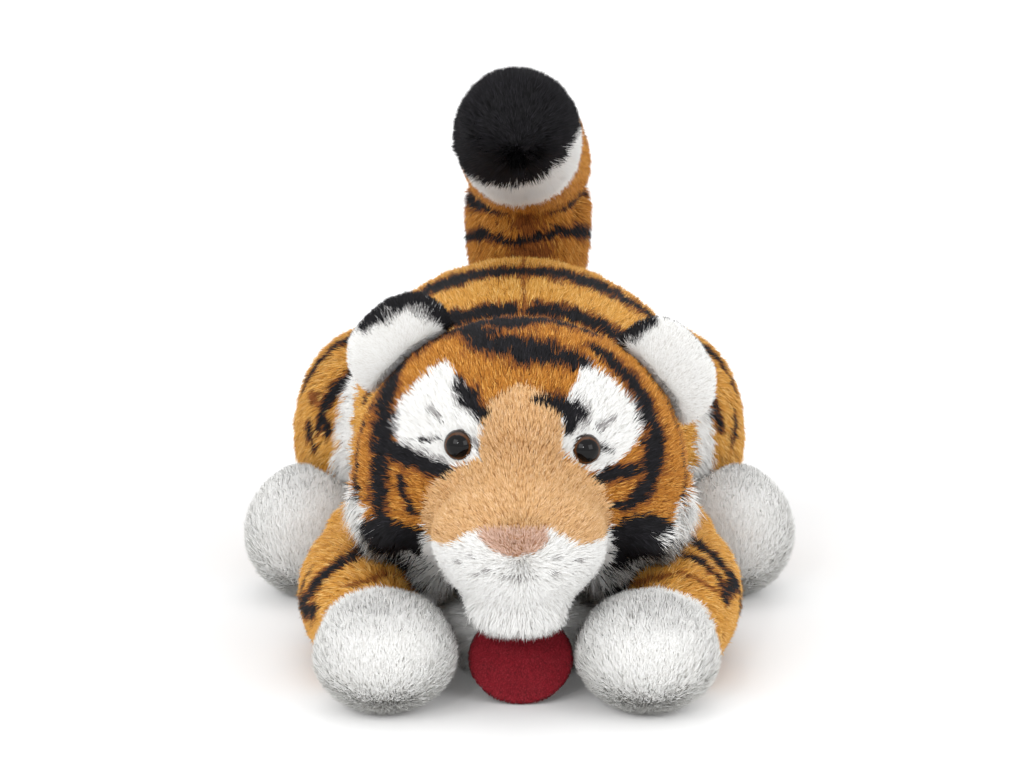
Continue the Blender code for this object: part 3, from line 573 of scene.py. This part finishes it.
def inside_patch(patch, pixels):
    """How far inside an outline each pixel lies: over 0 is inside, in pixels of the photograph."""
    outline = np.array(patch.outline, float)
    within = np.zeros(len(pixels), bool)
    nearest = np.full(len(pixels), 1e9)
    for start, end in zip(outline, np.roll(outline, -1, axis=0)):
        run = end - start
        share = np.clip((pixels - start) @ run / (run @ run), 0, 1)
        away = pixels - start - share[:, None] * run
        nearest = np.minimum(nearest, np.hypot(away[:, 0], away[:, 1]))
        crosses = (start[1] > pixels[:, 1]) != (end[1] > pixels[:, 1])
        rise = end[1] - start[1]
        x = start[0] + (pixels[:, 1] - start[1]) * run[0] / (rise if rise else 1e-9)
        within ^= crosses & (pixels[:, 0] < x)
    return np.where(within, nearest, -nearest)


def painted(shades, marks, tree, spots, normals):
    """The shade of each strand's root and tip, after the marks are laid on."""
    layers = np.column_stack((shades, shades))
    jitter = spots + rng.normal(0, MARK_JITTER, spots.shape)
    pixels = pixels_of(jitter)
    front = normals[:, 1] < FRONT_FACING
    fray = rng.random(len(spots))
    wander = np.array([noise.noise(spot) for spot in (spots / WANDER_SCALE).tolist()])
    for mark in marks:
        number = SHADE_NUMBER[mark.shade]
        if isinstance(mark, Patch):
            depth = inside_patch(mark, pixels)
            full = front & (depth > (fray - 0.5) * mark.feather) & (spots[:, 1] < mark.behind)
            layers[full] = number
            continue
        ratio = near_stroke(mark, tree, jitter, normals) + WANDER_SHARE * wander
        full = ratio < 0.85 + 0.6 * (fray - 0.5)
        edge = (ratio < 1.3 + 0.7 * (fray - 0.5)) & ~full
        layers[full] = number
        if mark.shade == "black":
            on_orange = edge & np.isin(layers[:, 1], (SHADE_NUMBER["orange"], SHADE_NUMBER["amber"]))
            layers[on_orange] = (SHADE_NUMBER["orange"], SHADE_NUMBER["rust"])
            on_white = edge & (layers[:, 1] == SHADE_NUMBER["white"])
            layers[on_white, 1] = SHADE_NUMBER["grey"]
    return layers


# Growing pile on a skin

def nearest_node(points, nodes):
    """For each point the number of the CAD node whose surface is nearest."""
    best = np.full(len(points), 1e9)
    which = np.zeros(len(points), int)
    for number, node in enumerate(nodes):
        tree = tree_of(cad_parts[node].data)
        low, high = (np.array(corner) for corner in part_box(node))
        gap = np.linalg.norm(np.maximum(np.maximum(low - points, points - high), 0), axis=1)
        for index in np.nonzero(gap < best)[0]:
            distance = tree.find_nearest(points[index])[3]
            if distance < best[index]:
                best[index] = distance
                which[index] = number
    return which


def spread(values, triangles, rounds=3):
    """Vertex values eased over their neighbours, so that one coat runs into the next."""
    ends = np.vstack((triangles[:, :2], triangles[:, 1:], triangles[:, ::2]))
    for _ in range(rounds):
        total = values.copy()
        count = np.ones(len(values))
        for a, b in ((0, 1), (1, 0)):
            np.add.at(total, ends[:, a], values[ends[:, b]])
            np.add.at(count, ends[:, a], 1)
        values = total / (count[:, None] if values.ndim > 1 else count)
    return values


@dataclass
class Strands:
    roots: np.ndarray
    normals: np.ndarray
    flow: np.ndarray
    length: np.ndarray
    lean: np.ndarray
    shades: np.ndarray

    def keep(self, mask):
        return Strands(*(getattr(self, key)[mask] for key in self.__dataclass_fields__))


def sprout(obj, nodes):
    """Roots of pile spread over a skin, each with its coat's length, lean and brushing."""
    mesh = obj.data
    points, normals, triangles = points_of(mesh), normals_of(mesh), triangles_of(mesh)
    coats = [COATS[node] for node in nodes]
    return scattered(points, normals, triangles, nearest_node(points, nodes), coats, "face_cover" in nodes)


def sprout_even(obj, coat):
    """Roots of one coat spread over the whole of a piece."""
    mesh = obj.data
    points = points_of(mesh)
    which = np.zeros(len(points), int)
    return scattered(points, normals_of(mesh), triangles_of(mesh), which, [coat])


def scattered(points, normals, triangles, which, coats, ruff=False):
    """Strand roots over a mesh whose every vertex belongs to one of the coats."""
    if ruff:
        ruff_number = len(coats)
        coats = coats + [RUFF]
        outer = np.abs(points[:, 0]) > RUFF_INNER
        low = outer & (points[:, 2] < RUFF_TOP)
        which[low & (normals[:, 1] > RUFF_FACING) & (which < 2)] = ruff_number
        which[outer & (points[:, 2] < RUFF_UNDER)] = ruff_number
    flow = np.zeros_like(points)
    for number, coat in enumerate(coats):
        mask = which == number
        flow[mask] = coat.flow(points[mask])
    length = spread(np.array([coat.length for coat in coats])[which], triangles)
    lean = spread(np.radians([coat.lean for coat in coats])[which], triangles)
    thick = np.array([coat.density for coat in coats])[which]
    flow = spread(flow, triangles)
    a, b, c = (points[triangles[:, k]] for k in range(3))
    area = np.linalg.norm(np.cross(b - a, c - a), axis=1) / 2
    weight = area * thick[triangles].mean(1)
    count = int(weight.sum() * STRANDS_PER_AREA)
    chosen = np.searchsorted(np.cumsum(weight) / weight.sum(), rng.random(count))
    chosen = np.minimum(chosen, len(triangles) - 1)
    u, v = rng.random(count), rng.random(count)
    over = u + v > 1
    u[over], v[over] = 1 - u[over], 1 - v[over]
    shares = np.column_stack((1 - u - v, u, v))
    corners = triangles[chosen]

    def mixed(values):
        picked = values[corners]
        if values.ndim > 1:
            return (picked * shares[:, :, None]).sum(1)
        return (picked * shares).sum(1)

    pick = (rng.random(count)[:, None] > np.cumsum(shares, axis=1)).sum(1).clip(0, 2)
    owner = which[corners[np.arange(count), pick]]
    shade = np.array([SHADE_NUMBER[coat.shade] for coat in coats])[owner]
    return Strands(mixed(points), unit(mixed(normals)), mixed(flow), mixed(length), mixed(lean), shade)


def inside(tree, point):
    """Whether a point lies inside a closed skin: a ray from it leaves through an odd number of faces."""
    count = 0
    start = Vector(point)
    way = Vector((0.21, 0.13, 0.97))
    while True:
        hit = tree.ray_cast(start, way)[0]
        if hit is None:
            return count % 2 == 1
        count += 1
        start = hit + way * 0.01 * MM


BURIED_DEPTH = 1.5 * MM


def buried(strands, others):
    """True where a root lies inside another skin, so that its strand can't be seen."""
    hidden = np.zeros(len(strands.roots), bool)
    for other in others:
        points = points_of(other.data)
        low, high = points.min(0), points.max(0)
        tree = tree_of(other.data)
        within = np.all((strands.roots > low) & (strands.roots < high), axis=1) & ~hidden
        for index in np.nonzero(within)[0]:
            root = Vector(strands.roots[index])
            near, normal, _, distance = tree.find_nearest(root)
            if distance > BURIED_DEPTH and (root - near).dot(normal) < 0 and inside(tree, root):
                hidden[index] = True
    return hidden


# The form of a strand, and how much strands differ
HEIGHTS = np.array((0.0, 0.5, 1.0))
THICKNESS_SHARES = np.array((1.0, 0.8))
FULL_LEAN = 0.6
BRUSH_WANDER = 0.28
LEAN_WANDER = 0.16
LENGTH_RANGE = (0.72, 1.12)
WIDTH_RANGE = (0.7, 1.3)
PULL_RANGE = (0.1, 0.6)
TWIST = 0.6
COMMON_LENGTH = 6 * MM


def strand_lines(strands):
    """The points of each strand: it rises from the skin, then lies over along the brushing."""
    count = len(strands.roots)
    n = strands.normals
    across = np.linalg.norm(strands.flow - (strands.flow * n).sum(1, keepdims=True) * n, axis=1)
    along = strands.flow + rng.normal(0, BRUSH_WANDER, (count, 3))
    along = unit(along - (along * n).sum(1, keepdims=True) * n)
    lean = np.clip(strands.lean + rng.normal(0, LEAN_WANDER, count), 0.1, 1.35)
    lean = lean * (across / FULL_LEAN).clip(0.2, 1.0)
    length = strands.length * rng.uniform(*LENGTH_RANGE, count)
    lines = np.zeros((count, len(HEIGHTS), 3))
    lines[:, 0] = strands.roots
    for step in range(1, len(HEIGHTS)):
        angle = lean * (0.55 + 0.6 * HEIGHTS[step])
        way = n * np.cos(angle)[:, None] + along * np.sin(angle)[:, None]
        run = (HEIGHTS[step] - HEIGHTS[step - 1]) * length
        lines[:, step] = lines[:, step - 1] + way * run[:, None]
    clumped(strands, lines)
    lines[:, :, 2] = np.maximum(lines[:, :, 2], FLOOR_GAP)
    return lines


def clumped(strands, lines):
    """Draws strands together into locks, more towards their tips."""
    spacing = CLUMP_SPACING * (strands.length / COMMON_LENGTH).clip(0.6, 1.6)
    chance = 1.0 / (STRANDS_PER_AREA * spacing**2)
    leaders = np.nonzero(rng.random(len(lines)) < chance)[0]
    if len(leaders) < 2:
        return
    tree = KDTree(len(leaders))
    for number, leader in enumerate(leaders):
        tree.insert(Vector(strands.roots[leader]), number)
    tree.balance()
    nearest = np.array([tree.find(root)[1] for root in strands.roots.tolist()])
    leader = leaders[nearest]
    pull = rng.uniform(*PULL_RANGE, len(lines))
    pull[strands.shades == SHADE_NUMBER["white"]] *= 0.5
    for step in range(1, lines.shape[1]):
        share = pull * HEIGHTS[step] ** 1.4
        lines[:, step] += (lines[leader, step] - lines[:, step]) * share[:, None]


def strand_tones(count, layers):
    """The material of each strand's two faces: darker at the root, lighter at the tip."""
    wander = rng.normal(0, 0.55, count)
    tones = np.zeros((count, 2), int)
    for step, level in enumerate((0.9, 2.0)):
        tones[:, step] = np.rint(level + wander).clip(0, TONE_COUNT - 1)
    return layers * TONE_COUNT + tones


def ribbons(name, strands, lines, slots):
    """One mesh of flat tapering strands, each of a quad and a triangle."""
    count = len(lines)
    way = unit(lines[:, -1] - lines[:, 0])
    side = unit(np.cross(way, strands.normals))
    up = np.cross(side, way)
    turn = rng.uniform(-TWIST, TWIST, count)[:, None]
    side = side * np.cos(turn) + up * np.sin(turn)
    half = STRAND_WIDTH / 2 * rng.uniform(*WIDTH_RANGE, count)
    half = half * (strands.length / COMMON_LENGTH).clip(0.55, 1.15)
    corners = np.zeros((count, 5, 3), np.float32)
    for step in range(2):
        offset = side * (half * THICKNESS_SHARES[step])[:, None]
        corners[:, 2 * step] = lines[:, step] - offset
        corners[:, 2 * step + 1] = lines[:, step] + offset
    corners[:, 4] = lines[:, 2]
    corners[:, :, 2] = np.maximum(corners[:, :, 2], FLOOR_GAP)
    number = np.arange(count, dtype=np.int32)[:, None]
    loops = (number * 5 + np.array((0, 1, 3, 2, 2, 3, 4), np.int32)).ravel()
    starts = (number * 7 + np.array((0, 4), np.int32)).ravel()
    used = np.unique(slots)
    mesh = bpy.data.meshes.new(name)
    mesh.vertices.add(count * 5)
    mesh.vertices.foreach_set("co", corners.ravel())
    mesh.loops.add(len(loops))
    mesh.loops.foreach_set("vertex_index", loops)
    mesh.polygons.add(len(starts))
    mesh.polygons.foreach_set("loop_start", starts)
    mesh.polygons.foreach_set("material_index", np.searchsorted(used, slots).ravel().astype(np.int32))
    for slot in used:
        mesh.materials.append(PILE[slot])
    mesh.update(calc_edges=True)
    mesh.shade_smooth()
    face = unit(np.cross(side, way))
    face *= np.sign((face * strands.normals).sum(1, keepdims=True))
    soft = unit(face * 0.15 + strands.normals)
    mesh.normals_split_custom_set_from_vertices(np.repeat(soft, 5, axis=0).tolist())
    return to_object(name, mesh)


PILE = [strand_material(shade, tone) for shade in SHADES for tone in range(TONE_COUNT)]
BACKING = {
    "orange": cloth_material("backing_orange", (92, 50, 20), (150, 90, 36)),
    "white": cloth_material("backing_white", (232, 230, 225), (246, 245, 242)),
    "tan": cloth_material("backing_tan", (170, 120, 72), (206, 156, 104)),
    "black": cloth_material("backing_black", (8, 8, 10), (20, 18, 22)),
}


# The skins, by body

@dataclass
class Skin:
    name: str
    body: str
    nodes: tuple
    inner: tuple = ()
    marks: tuple = ()
    backing: str = "orange"
    fill: float = 0.7
    joins: tuple = ()

    def carry(self, piece):
        """Fixes a piece to the skin's body; a piece of a skin with joins stays unparented, its place baked
        into its mesh.
        """
        if self.joins:
            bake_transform(piece)
        else:
            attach(piece, self.body)


TAIL_CURL = (0.0048, 0.1504, 0.1745)
TAIL_BEND = 16 * MM


def above(point, height):
    return (point[0], point[1], point[2] + height)


SKINS = [
    Skin("torso", "torso", ("back_cover", "belly_cover", "chest_bib", "haunch_left", "haunch_right"),
         ("body_filling",), TORSO_MARKS),
    Skin("head", "head", ("face_cover", "head_back_cover", "nose_bridge", "muzzle_top", "muzzle_lower",
                          "nose", "chin", "cheek_tuft_left", "cheek_tuft_right"),
         ("head_filling", "eye_washer_left", "eye_washer_right"), HEAD_MARKS),
    Skin("neck_skin", "neck_ball", ("neck",)),
    Skin("tail", "tail_stem", ("tail_base", "tail_bend", "tail_ring", "tail_tip"), (), TAIL_MARKS,
         joins=("tail_end", above(TAIL_CURL, -TAIL_BEND), above(TAIL_CURL, TAIL_BEND))),
    Skin("leg_left", "leg_front_left", ("foreleg_left", "front_paw_left"), (), LEG_MARKS, "white"),
    Skin("leg_right", "leg_front_right", ("foreleg_right", "front_paw_right"), (), LEG_MARKS, "white"),
    Skin("foot_left", "foot_hind_left", ("hind_paw_left",), (), (), "white"),
    Skin("foot_right", "foot_hind_right", ("hind_paw_right",), (), (), "white"),
    Skin("ear_left", "ear_of_left", ("ear_front_left", "ear_back_left"), (), EAR_LEFT_MARKS, "white"),
    Skin("ear_right", "ear_of_right", ("ear_front_right", "ear_back_right"), (), EAR_RIGHT_MARKS, "white"),
]


def lowered(obj, nodes):
    """Draws a skin in by the depth of its pile, more under long pile than under short."""
    mesh = obj.data
    points, normals = points_of(mesh), normals_of(mesh)
    depth = np.array([bed_of(COATS[node]) for node in nodes])[nearest_node(points, nodes)]
    depth = spread(depth, triangles_of(mesh), 4)
    points -= normals * depth[:, None]
    points[:, 2] = np.maximum(points[:, 2], FLOOR_GAP)
    mesh.vertices.foreach_set("co", points.ravel())
    mesh.update()


def puffed(skins):
    """Fills each skin as cloth with air, from a slightly smaller shape, and keeps how it settles."""
    for obj in skins:
        mesh = obj.data
        points = points_of(mesh) - normals_of(mesh) * CLOTH_SHRINK
        mesh.vertices.foreach_set("co", points.ravel())
        mesh.update()
        cloth = obj.modifiers.new("cloth", "CLOTH")
        cloth.settings.quality = 4
        cloth.settings.use_pressure = True
        cloth.settings.uniform_pressure_force = CLOTH_PRESSURE
        cloth.settings.effector_weights.gravity = 0.0
        cloth.point_cache.frame_start = 1
        cloth.point_cache.frame_end = CLOTH_FRAMES
    for step in range(1, CLOTH_FRAMES + 1):
        bpy.context.scene.frame_set(step)
    graph = bpy.context.evaluated_depsgraph_get()
    settled = [bpy.data.meshes.new_from_object(obj.evaluated_get(graph)) for obj in skins]
    for obj, mesh in zip(skins, settled):
        before = points_of(obj.data)
        moved = points_of(mesh) - before
        far = np.linalg.norm(moved, axis=1, keepdims=True)
        moved *= np.minimum(1.0, CLOTH_CAP / np.maximum(far, 1e-9))
        obj.modifiers.clear()
        obj.data.vertices.foreach_set("co", (before + moved).ravel())
        obj.data.update()
    bpy.context.scene.frame_set(1)
    for obj in skins:
        finer = obj.modifiers.new("finer", "SUBSURF")
        finer.levels = 1
        graph = bpy.context.evaluated_depsgraph_get()
        mesh = bpy.data.meshes.new_from_object(obj.evaluated_get(graph))
        obj.modifiers.clear()
        obj.data = mesh


BACKING_OF = {"orange": "orange", "amber": "orange", "rust": "orange", "black": "black", "tan": "tan",
              "pink": "tan", "white": "white", "grey": "white", "red": "orange"}


def back_cloth(skin, obj):
    """Gives each face of a skin the backing that matches the pile over it."""
    mesh = obj.data
    centres, normals = values_of(mesh.polygons, "center"), values_of(mesh.polygons, "normal")
    shade_of = np.array([SHADE_NUMBER[COATS[node].shade] for node in skin.nodes])
    shades = shade_of[nearest_node(centres, skin.nodes)]
    layers = painted(shades, skin.marks, tree_of(mesh), centres, normals)
    kinds = list(BACKING)
    mesh.materials.clear()
    for kind in kinds:
        mesh.materials.append(BACKING[kind])
    kind_of = np.array([kinds.index(BACKING_OF[shade]) for shade in SHADES])
    mesh.polygons.foreach_set("material_index", kind_of[layers[:, 1]].astype(np.int32))
    mesh.shade_smooth()


TOO_THIN = ("ear_left", "ear_right")


def build_skins():
    """Every skin at its final shape, fixed to its body; thin ones go without the cloth simulation."""
    puffy = [skin.name for skin in SKINS if skin.name not in TOO_THIN]
    made = {}
    for skin in SKINS:
        voxel = CLOTH_VOXEL if skin.name in puffy else VOXEL
        made[skin.name] = remeshed(skin.name, skin.nodes + skin.inner, voxel)
    if puffy:
        puffed([made[name] for name in puffy])
    for skin in SKINS:
        obj = made[skin.name]
        lowered(obj, skin.nodes)
        back_cloth(skin, obj)
        skin.carry(obj)
        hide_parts(*skin.nodes, *skin.inner)
    return made


def grow(skin, obj, others):
    """Covers one skin with pile, in pieces of at most STRANDS_PER_PIECE strands."""
    strands = sprout(obj, skin.nodes)
    strands = strands.keep(~buried(strands, others))
    order = np.argsort(strands.roots[:, 0])
    strands = strands.keep(order)
    lines = strand_lines(strands)
    seen = lines[:, 0] + (lines[:, -1] - lines[:, 0]) * PATTERN_SHARE
    layers = painted(strands.shades, skin.marks, tree_of(obj.data), seen, strands.normals)
    slots = strand_tones(len(lines), layers)
    pieces = math.ceil(len(lines) / STRANDS_PER_PIECE)
    for number, part in enumerate(np.array_split(np.arange(len(lines)), pieces)):
        piece = ribbons(f"{skin.name}_pile_{number + 1}", strands.keep(part), lines[part], slots[part])
        skin.carry(piece)
        common = np.bincount(layers[part, 1]).argmax()


# Eyes

EYE_RADIUS = 6.4 * MM
EYE_SINK = 1.8 * MM


def eye_material():
    """Glossy black eye with an amber ring that shows at its rim."""
    nodes = new_material("eye_glass")
    nodes.set(Roughness=0.05, Specular_IOR_Level=0.25)
    place = nodes.add("ShaderNodeTexCoord")
    length = nodes.add("ShaderNodeVectorMath", operation="LENGTH")
    flat = nodes.add("ShaderNodeVectorMath", operation="MULTIPLY")
    flat.inputs[1].default_value = (1.0, 1.0, 0.0)
    grain = nodes.add("ShaderNodeTexNoise", Scale=900.0, Detail=3.0)
    jitter = nodes.add("ShaderNodeMath", operation="MULTIPLY_ADD")
    jitter.inputs[1].default_value = 0.6 * MM
    span = nodes.add("ShaderNodeMapRange", From_Max=EYE_RADIUS)
    ramp = nodes.add("ShaderNodeValToRGB")
    elements = ramp.color_ramp.elements
    elements.new(0.94)
    colours = ((8, 7, 8), (84, 50, 24), (30, 17, 10))
    for element, position, colour in zip(elements, (0.74, 0.82, 0.94), colours):
        element.position = position
        element.color = linear(colour)
    nodes.link(place, "Object", flat, 0)
    nodes.link(flat, "Vector", length, 0)
    nodes.link(place, "Object", grain, "Vector")
    nodes.link(grain, "Fac", jitter, 0)
    nodes.link(length, "Value", jitter, 2)
    nodes.link(jitter, "Value", span, "Value")
    nodes.link(span, "Result", ramp, "Fac")
    nodes.link(ramp, "Color", nodes.shader, "Base Color")
    return nodes.owner


def build_eyes():
    material = eye_material()
    for side in ("left", "right"):
        node = f"eye_{side}"
        low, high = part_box(node)
        centre = Vector(((low.x + high.x) / 2, low.y + EYE_RADIUS + EYE_SINK, (low.z + high.z) / 2))
        mesh = bpy.data.meshes.new(f"eye_ball_{side}")
        bm = bmesh.new()
        bmesh.ops.create_uvsphere(bm, u_segments=48, v_segments=32, radius=EYE_RADIUS)
        bm.to_mesh(mesh)
        bm.free()
        mesh.shade_smooth()
        mesh.materials.append(material)
        obj = to_object(f"eye_ball_{side}", mesh)
        obj.location = centre
        look = Vector((centre.x * 8, -1.0, 0.05))
        obj.rotation_mode = "QUATERNION"
        obj.rotation_quaternion = look.to_track_quat("Z", "Y")
        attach(obj, "head")
        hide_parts(node)


# The tag

TAG_WAVE = 0.5 * MM
NAP = Coat("red", 1.1 * MM, 66, None, (0.3, -0.2, -1.0), 0.0, 3.0)


def plane_of(points):
    """The middle of some points, and their axes from the longest to the shortest."""
    middle = (points.min(0) + points.max(0)) / 2
    axes = np.linalg.svd(points - points.mean(0), full_matrices=False)[2]
    return middle, axes


def oval_felt(name, node):
    """An oval of felt where its solid lies: a soft wave, a rounded edge and a matted face."""
    points = points_of(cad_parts[node].data)
    middle, (wide, high, thick) = plane_of(points)
    local = (points - middle) @ np.array((wide, high, thick)).T
    half_wide, half_high, half_thick = np.abs(local).max(0)
    rings, around = 14, 72
    bm = bmesh.new()
    sides = []
    for face in (1, -1):
        circles = []
        for ring in range(1, rings + 1):
            reach = ring / rings
            lip = max(0.0, (reach - 0.93) / 0.07)
            circle = []
            for turn in range(around):
                angle = 2 * math.pi * turn / around
                u, v = reach * math.cos(angle), reach * math.sin(angle)
                wave = TAG_WAVE * (math.sin(3.0 * u + 1.0) * math.cos(2.0 * v) - 0.5)
                depth = face * half_thick * 0.8 * math.sqrt(max(0.0, 1 - lip**2)) + wave * reach
                spot = middle + wide * u * half_wide + high * v * half_high + thick * depth
                circle.append(bm.verts.new(spot))
            circles.append(circle)
        centre = bm.verts.new(middle + thick * face * half_thick * 0.8)
        sides.append((centre, circles))
    for (centre, circles), face in zip(sides, (1, -1)):
        for turn in range(around):
            after = (turn + 1) % around
            bm.faces.new((centre, circles[0][turn], circles[0][after])[::face])
            for inner, outer in zip(circles, circles[1:]):
                bm.faces.new((inner[turn], outer[turn], outer[after], inner[after])[::face])
    front, back = sides[0][1][-1], sides[1][1][-1]
    for turn in range(around):
        after = (turn + 1) % around
        bm.faces.new((front[turn], back[turn], back[after], front[after]))
    bmesh.ops.remove_doubles(bm, verts=bm.verts, dist=0.01 * MM)
    bmesh.ops.recalc_face_normals(bm, faces=bm.faces)
    mesh = bpy.data.meshes.new(name)
    bm.to_mesh(mesh)
    bm.free()
    mesh.shade_smooth()
    return to_object(name, mesh), 2 * half_wide, 2 * half_high


def build_tag():
    """The felt oval with its nap, and the tab that it hangs from."""
    tab = remeshed("tab_cloth", ("tag_tab",), 0.8 * MM, 3)
    tab.data.materials.clear()
    tab.data.materials.append(BACKING["white"])
    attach(tab, "torso")
    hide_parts("tag_tab")

    felt = cloth_material("red_felt", (92, 6, 18), (150, 20, 38), 1500.0, 0.5 * MM)
    tag, width, height = oval_felt("tag_felt", "tag")
    tag.data.materials.append(felt)
    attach(tag, "felt_tag")
    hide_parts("tag")
    nap = sprout_even(tag, NAP)
    lines = strand_lines(nap)
    layers = np.column_stack((nap.shades, nap.shades))
    fibres = ribbons("tag_nap", nap, lines, strand_tones(len(lines), layers))
    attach(fibres, "felt_tag")


# Stage

WHITE = (1.0, 1.0, 1.0, 1.0)
LAMP_AIM = Vector((0.0, -0.05, 0.08))


def build_floor():
    """A pale floor that keeps the shadow, and turns to plain white for the camera away from the toy."""
    bpy.ops.mesh.primitive_plane_add(size=40.0, location=(0.0, 0.0, 0.0))
    floor = bpy.context.object
    floor.name = "floor"
    nodes = new_material("floor_white")
    nodes.set(Base_Color=(0.92, 0.92, 0.92, 1.0), Roughness=0.9, Specular_IOR_Level=0.1)
    glow = nodes.add("ShaderNodeEmission", Strength=1.3)
    path = nodes.add("ShaderNodeLightPath")
    place = nodes.add("ShaderNodeTexCoord")
    length = nodes.add("ShaderNodeVectorMath", operation="LENGTH")
    fade = nodes.add("ShaderNodeMapRange", interpolation_type="SMOOTHSTEP", From_Min=0.25, From_Max=0.50,
                     To_Min=0.04)
    share = nodes.add("ShaderNodeMath", operation="MULTIPLY")
    mix = nodes.add("ShaderNodeMixShader")
    nodes.link(place, "Object", length, 0)
    nodes.link(length, "Value", fade, "Value")
    nodes.link(path, "Is Camera Ray", share, 0)
    nodes.link(fade, "Result", share, 1)
    nodes.link(share, "Value", mix, "Fac")
    nodes.link(nodes.shader, "BSDF", mix, 1)
    nodes.link(glow, "Emission", mix, 2)
    nodes.link(mix, "Shader", nodes.tree.nodes["Material Output"], "Surface")
    floor.data.materials.append(nodes.owner)


def build_world():
    """Light from all round, and a white background for what is seen directly or in a gloss."""
    world = bpy.data.worlds.new("studio")
    bpy.context.scene.world = world
    nodes = Nodes(world, "Background")
    nodes.set(Color=WHITE, Strength=0.92)
    backdrop = nodes.add("ShaderNodeBackground", Color=WHITE, Strength=1.0)
    path = nodes.add("ShaderNodeLightPath")
    mix = nodes.add("ShaderNodeMixShader")
    source, output = path, "Is Camera Ray"
    for kind in ("Is Glossy Ray", "Is Transmission Ray"):
        seen = nodes.add("ShaderNodeMath", operation="MAXIMUM")
        nodes.link(source, output, seen, 0)
        nodes.link(path, kind, seen, 1)
        source, output = seen, "Value"
    nodes.link(source, output, mix, "Fac")
    nodes.link(nodes.shader, "Background", mix, 1)
    nodes.link(backdrop, "Background", mix, 2)
    nodes.link(mix, "Shader", nodes.tree.nodes["World Output"], "Surface")


def build_lamps():
    """Soft lamps left, right and above, and a small one for the spark in the eyes."""
    for name, place, size, power in (
        ("key", (-0.8, -1.2, 0.9), 0.8, 5.2),
        ("fill", (1.0, -1.2, 0.7), 0.8, 4.8),
        ("top", (0.0, 0.2, 1.5), 1.2, 4.2),
        ("spark", (-0.35, -1.5, 0.75), 0.10, 2.6),
    ):
        data = bpy.data.lights.new(name, "AREA")
        data.size = size
        data.energy = power
        lamp = bpy.data.objects.new(name, data)
        bpy.context.scene.collection.objects.link(lamp)
        lamp.location = place
        aim = LAMP_AIM - Vector(place)
        lamp.rotation_mode = "QUATERNION"
        lamp.rotation_quaternion = aim.to_track_quat("-Z", "Y")


def build_camera():
    data = bpy.data.cameras.new("camera")
    data.sensor_width = SENSOR_WIDTH
    data.lens = FOCAL_PIXELS * SENSOR_WIDTH / IMAGE_WIDTH
    data.clip_start = 0.01
    camera = bpy.data.objects.new("camera", data)
    camera.location = CAMERA_PLACE
    camera.rotation_euler = (math.pi / 2 - CAMERA_PITCH, 0.0, 0.0)
    bpy.context.scene.collection.objects.link(camera)
    bpy.context.scene.camera = camera


bpy.context.scene.view_settings.view_transform = "Standard"
build_camera()
build_floor()
build_world()
build_lamps()
skins = build_skins()
for skin in SKINS:
    others = [obj for name, obj in skins.items() if name != skin.name]
    grow(skin, skins[skin.name], others)
build_eyes()
build_tag()
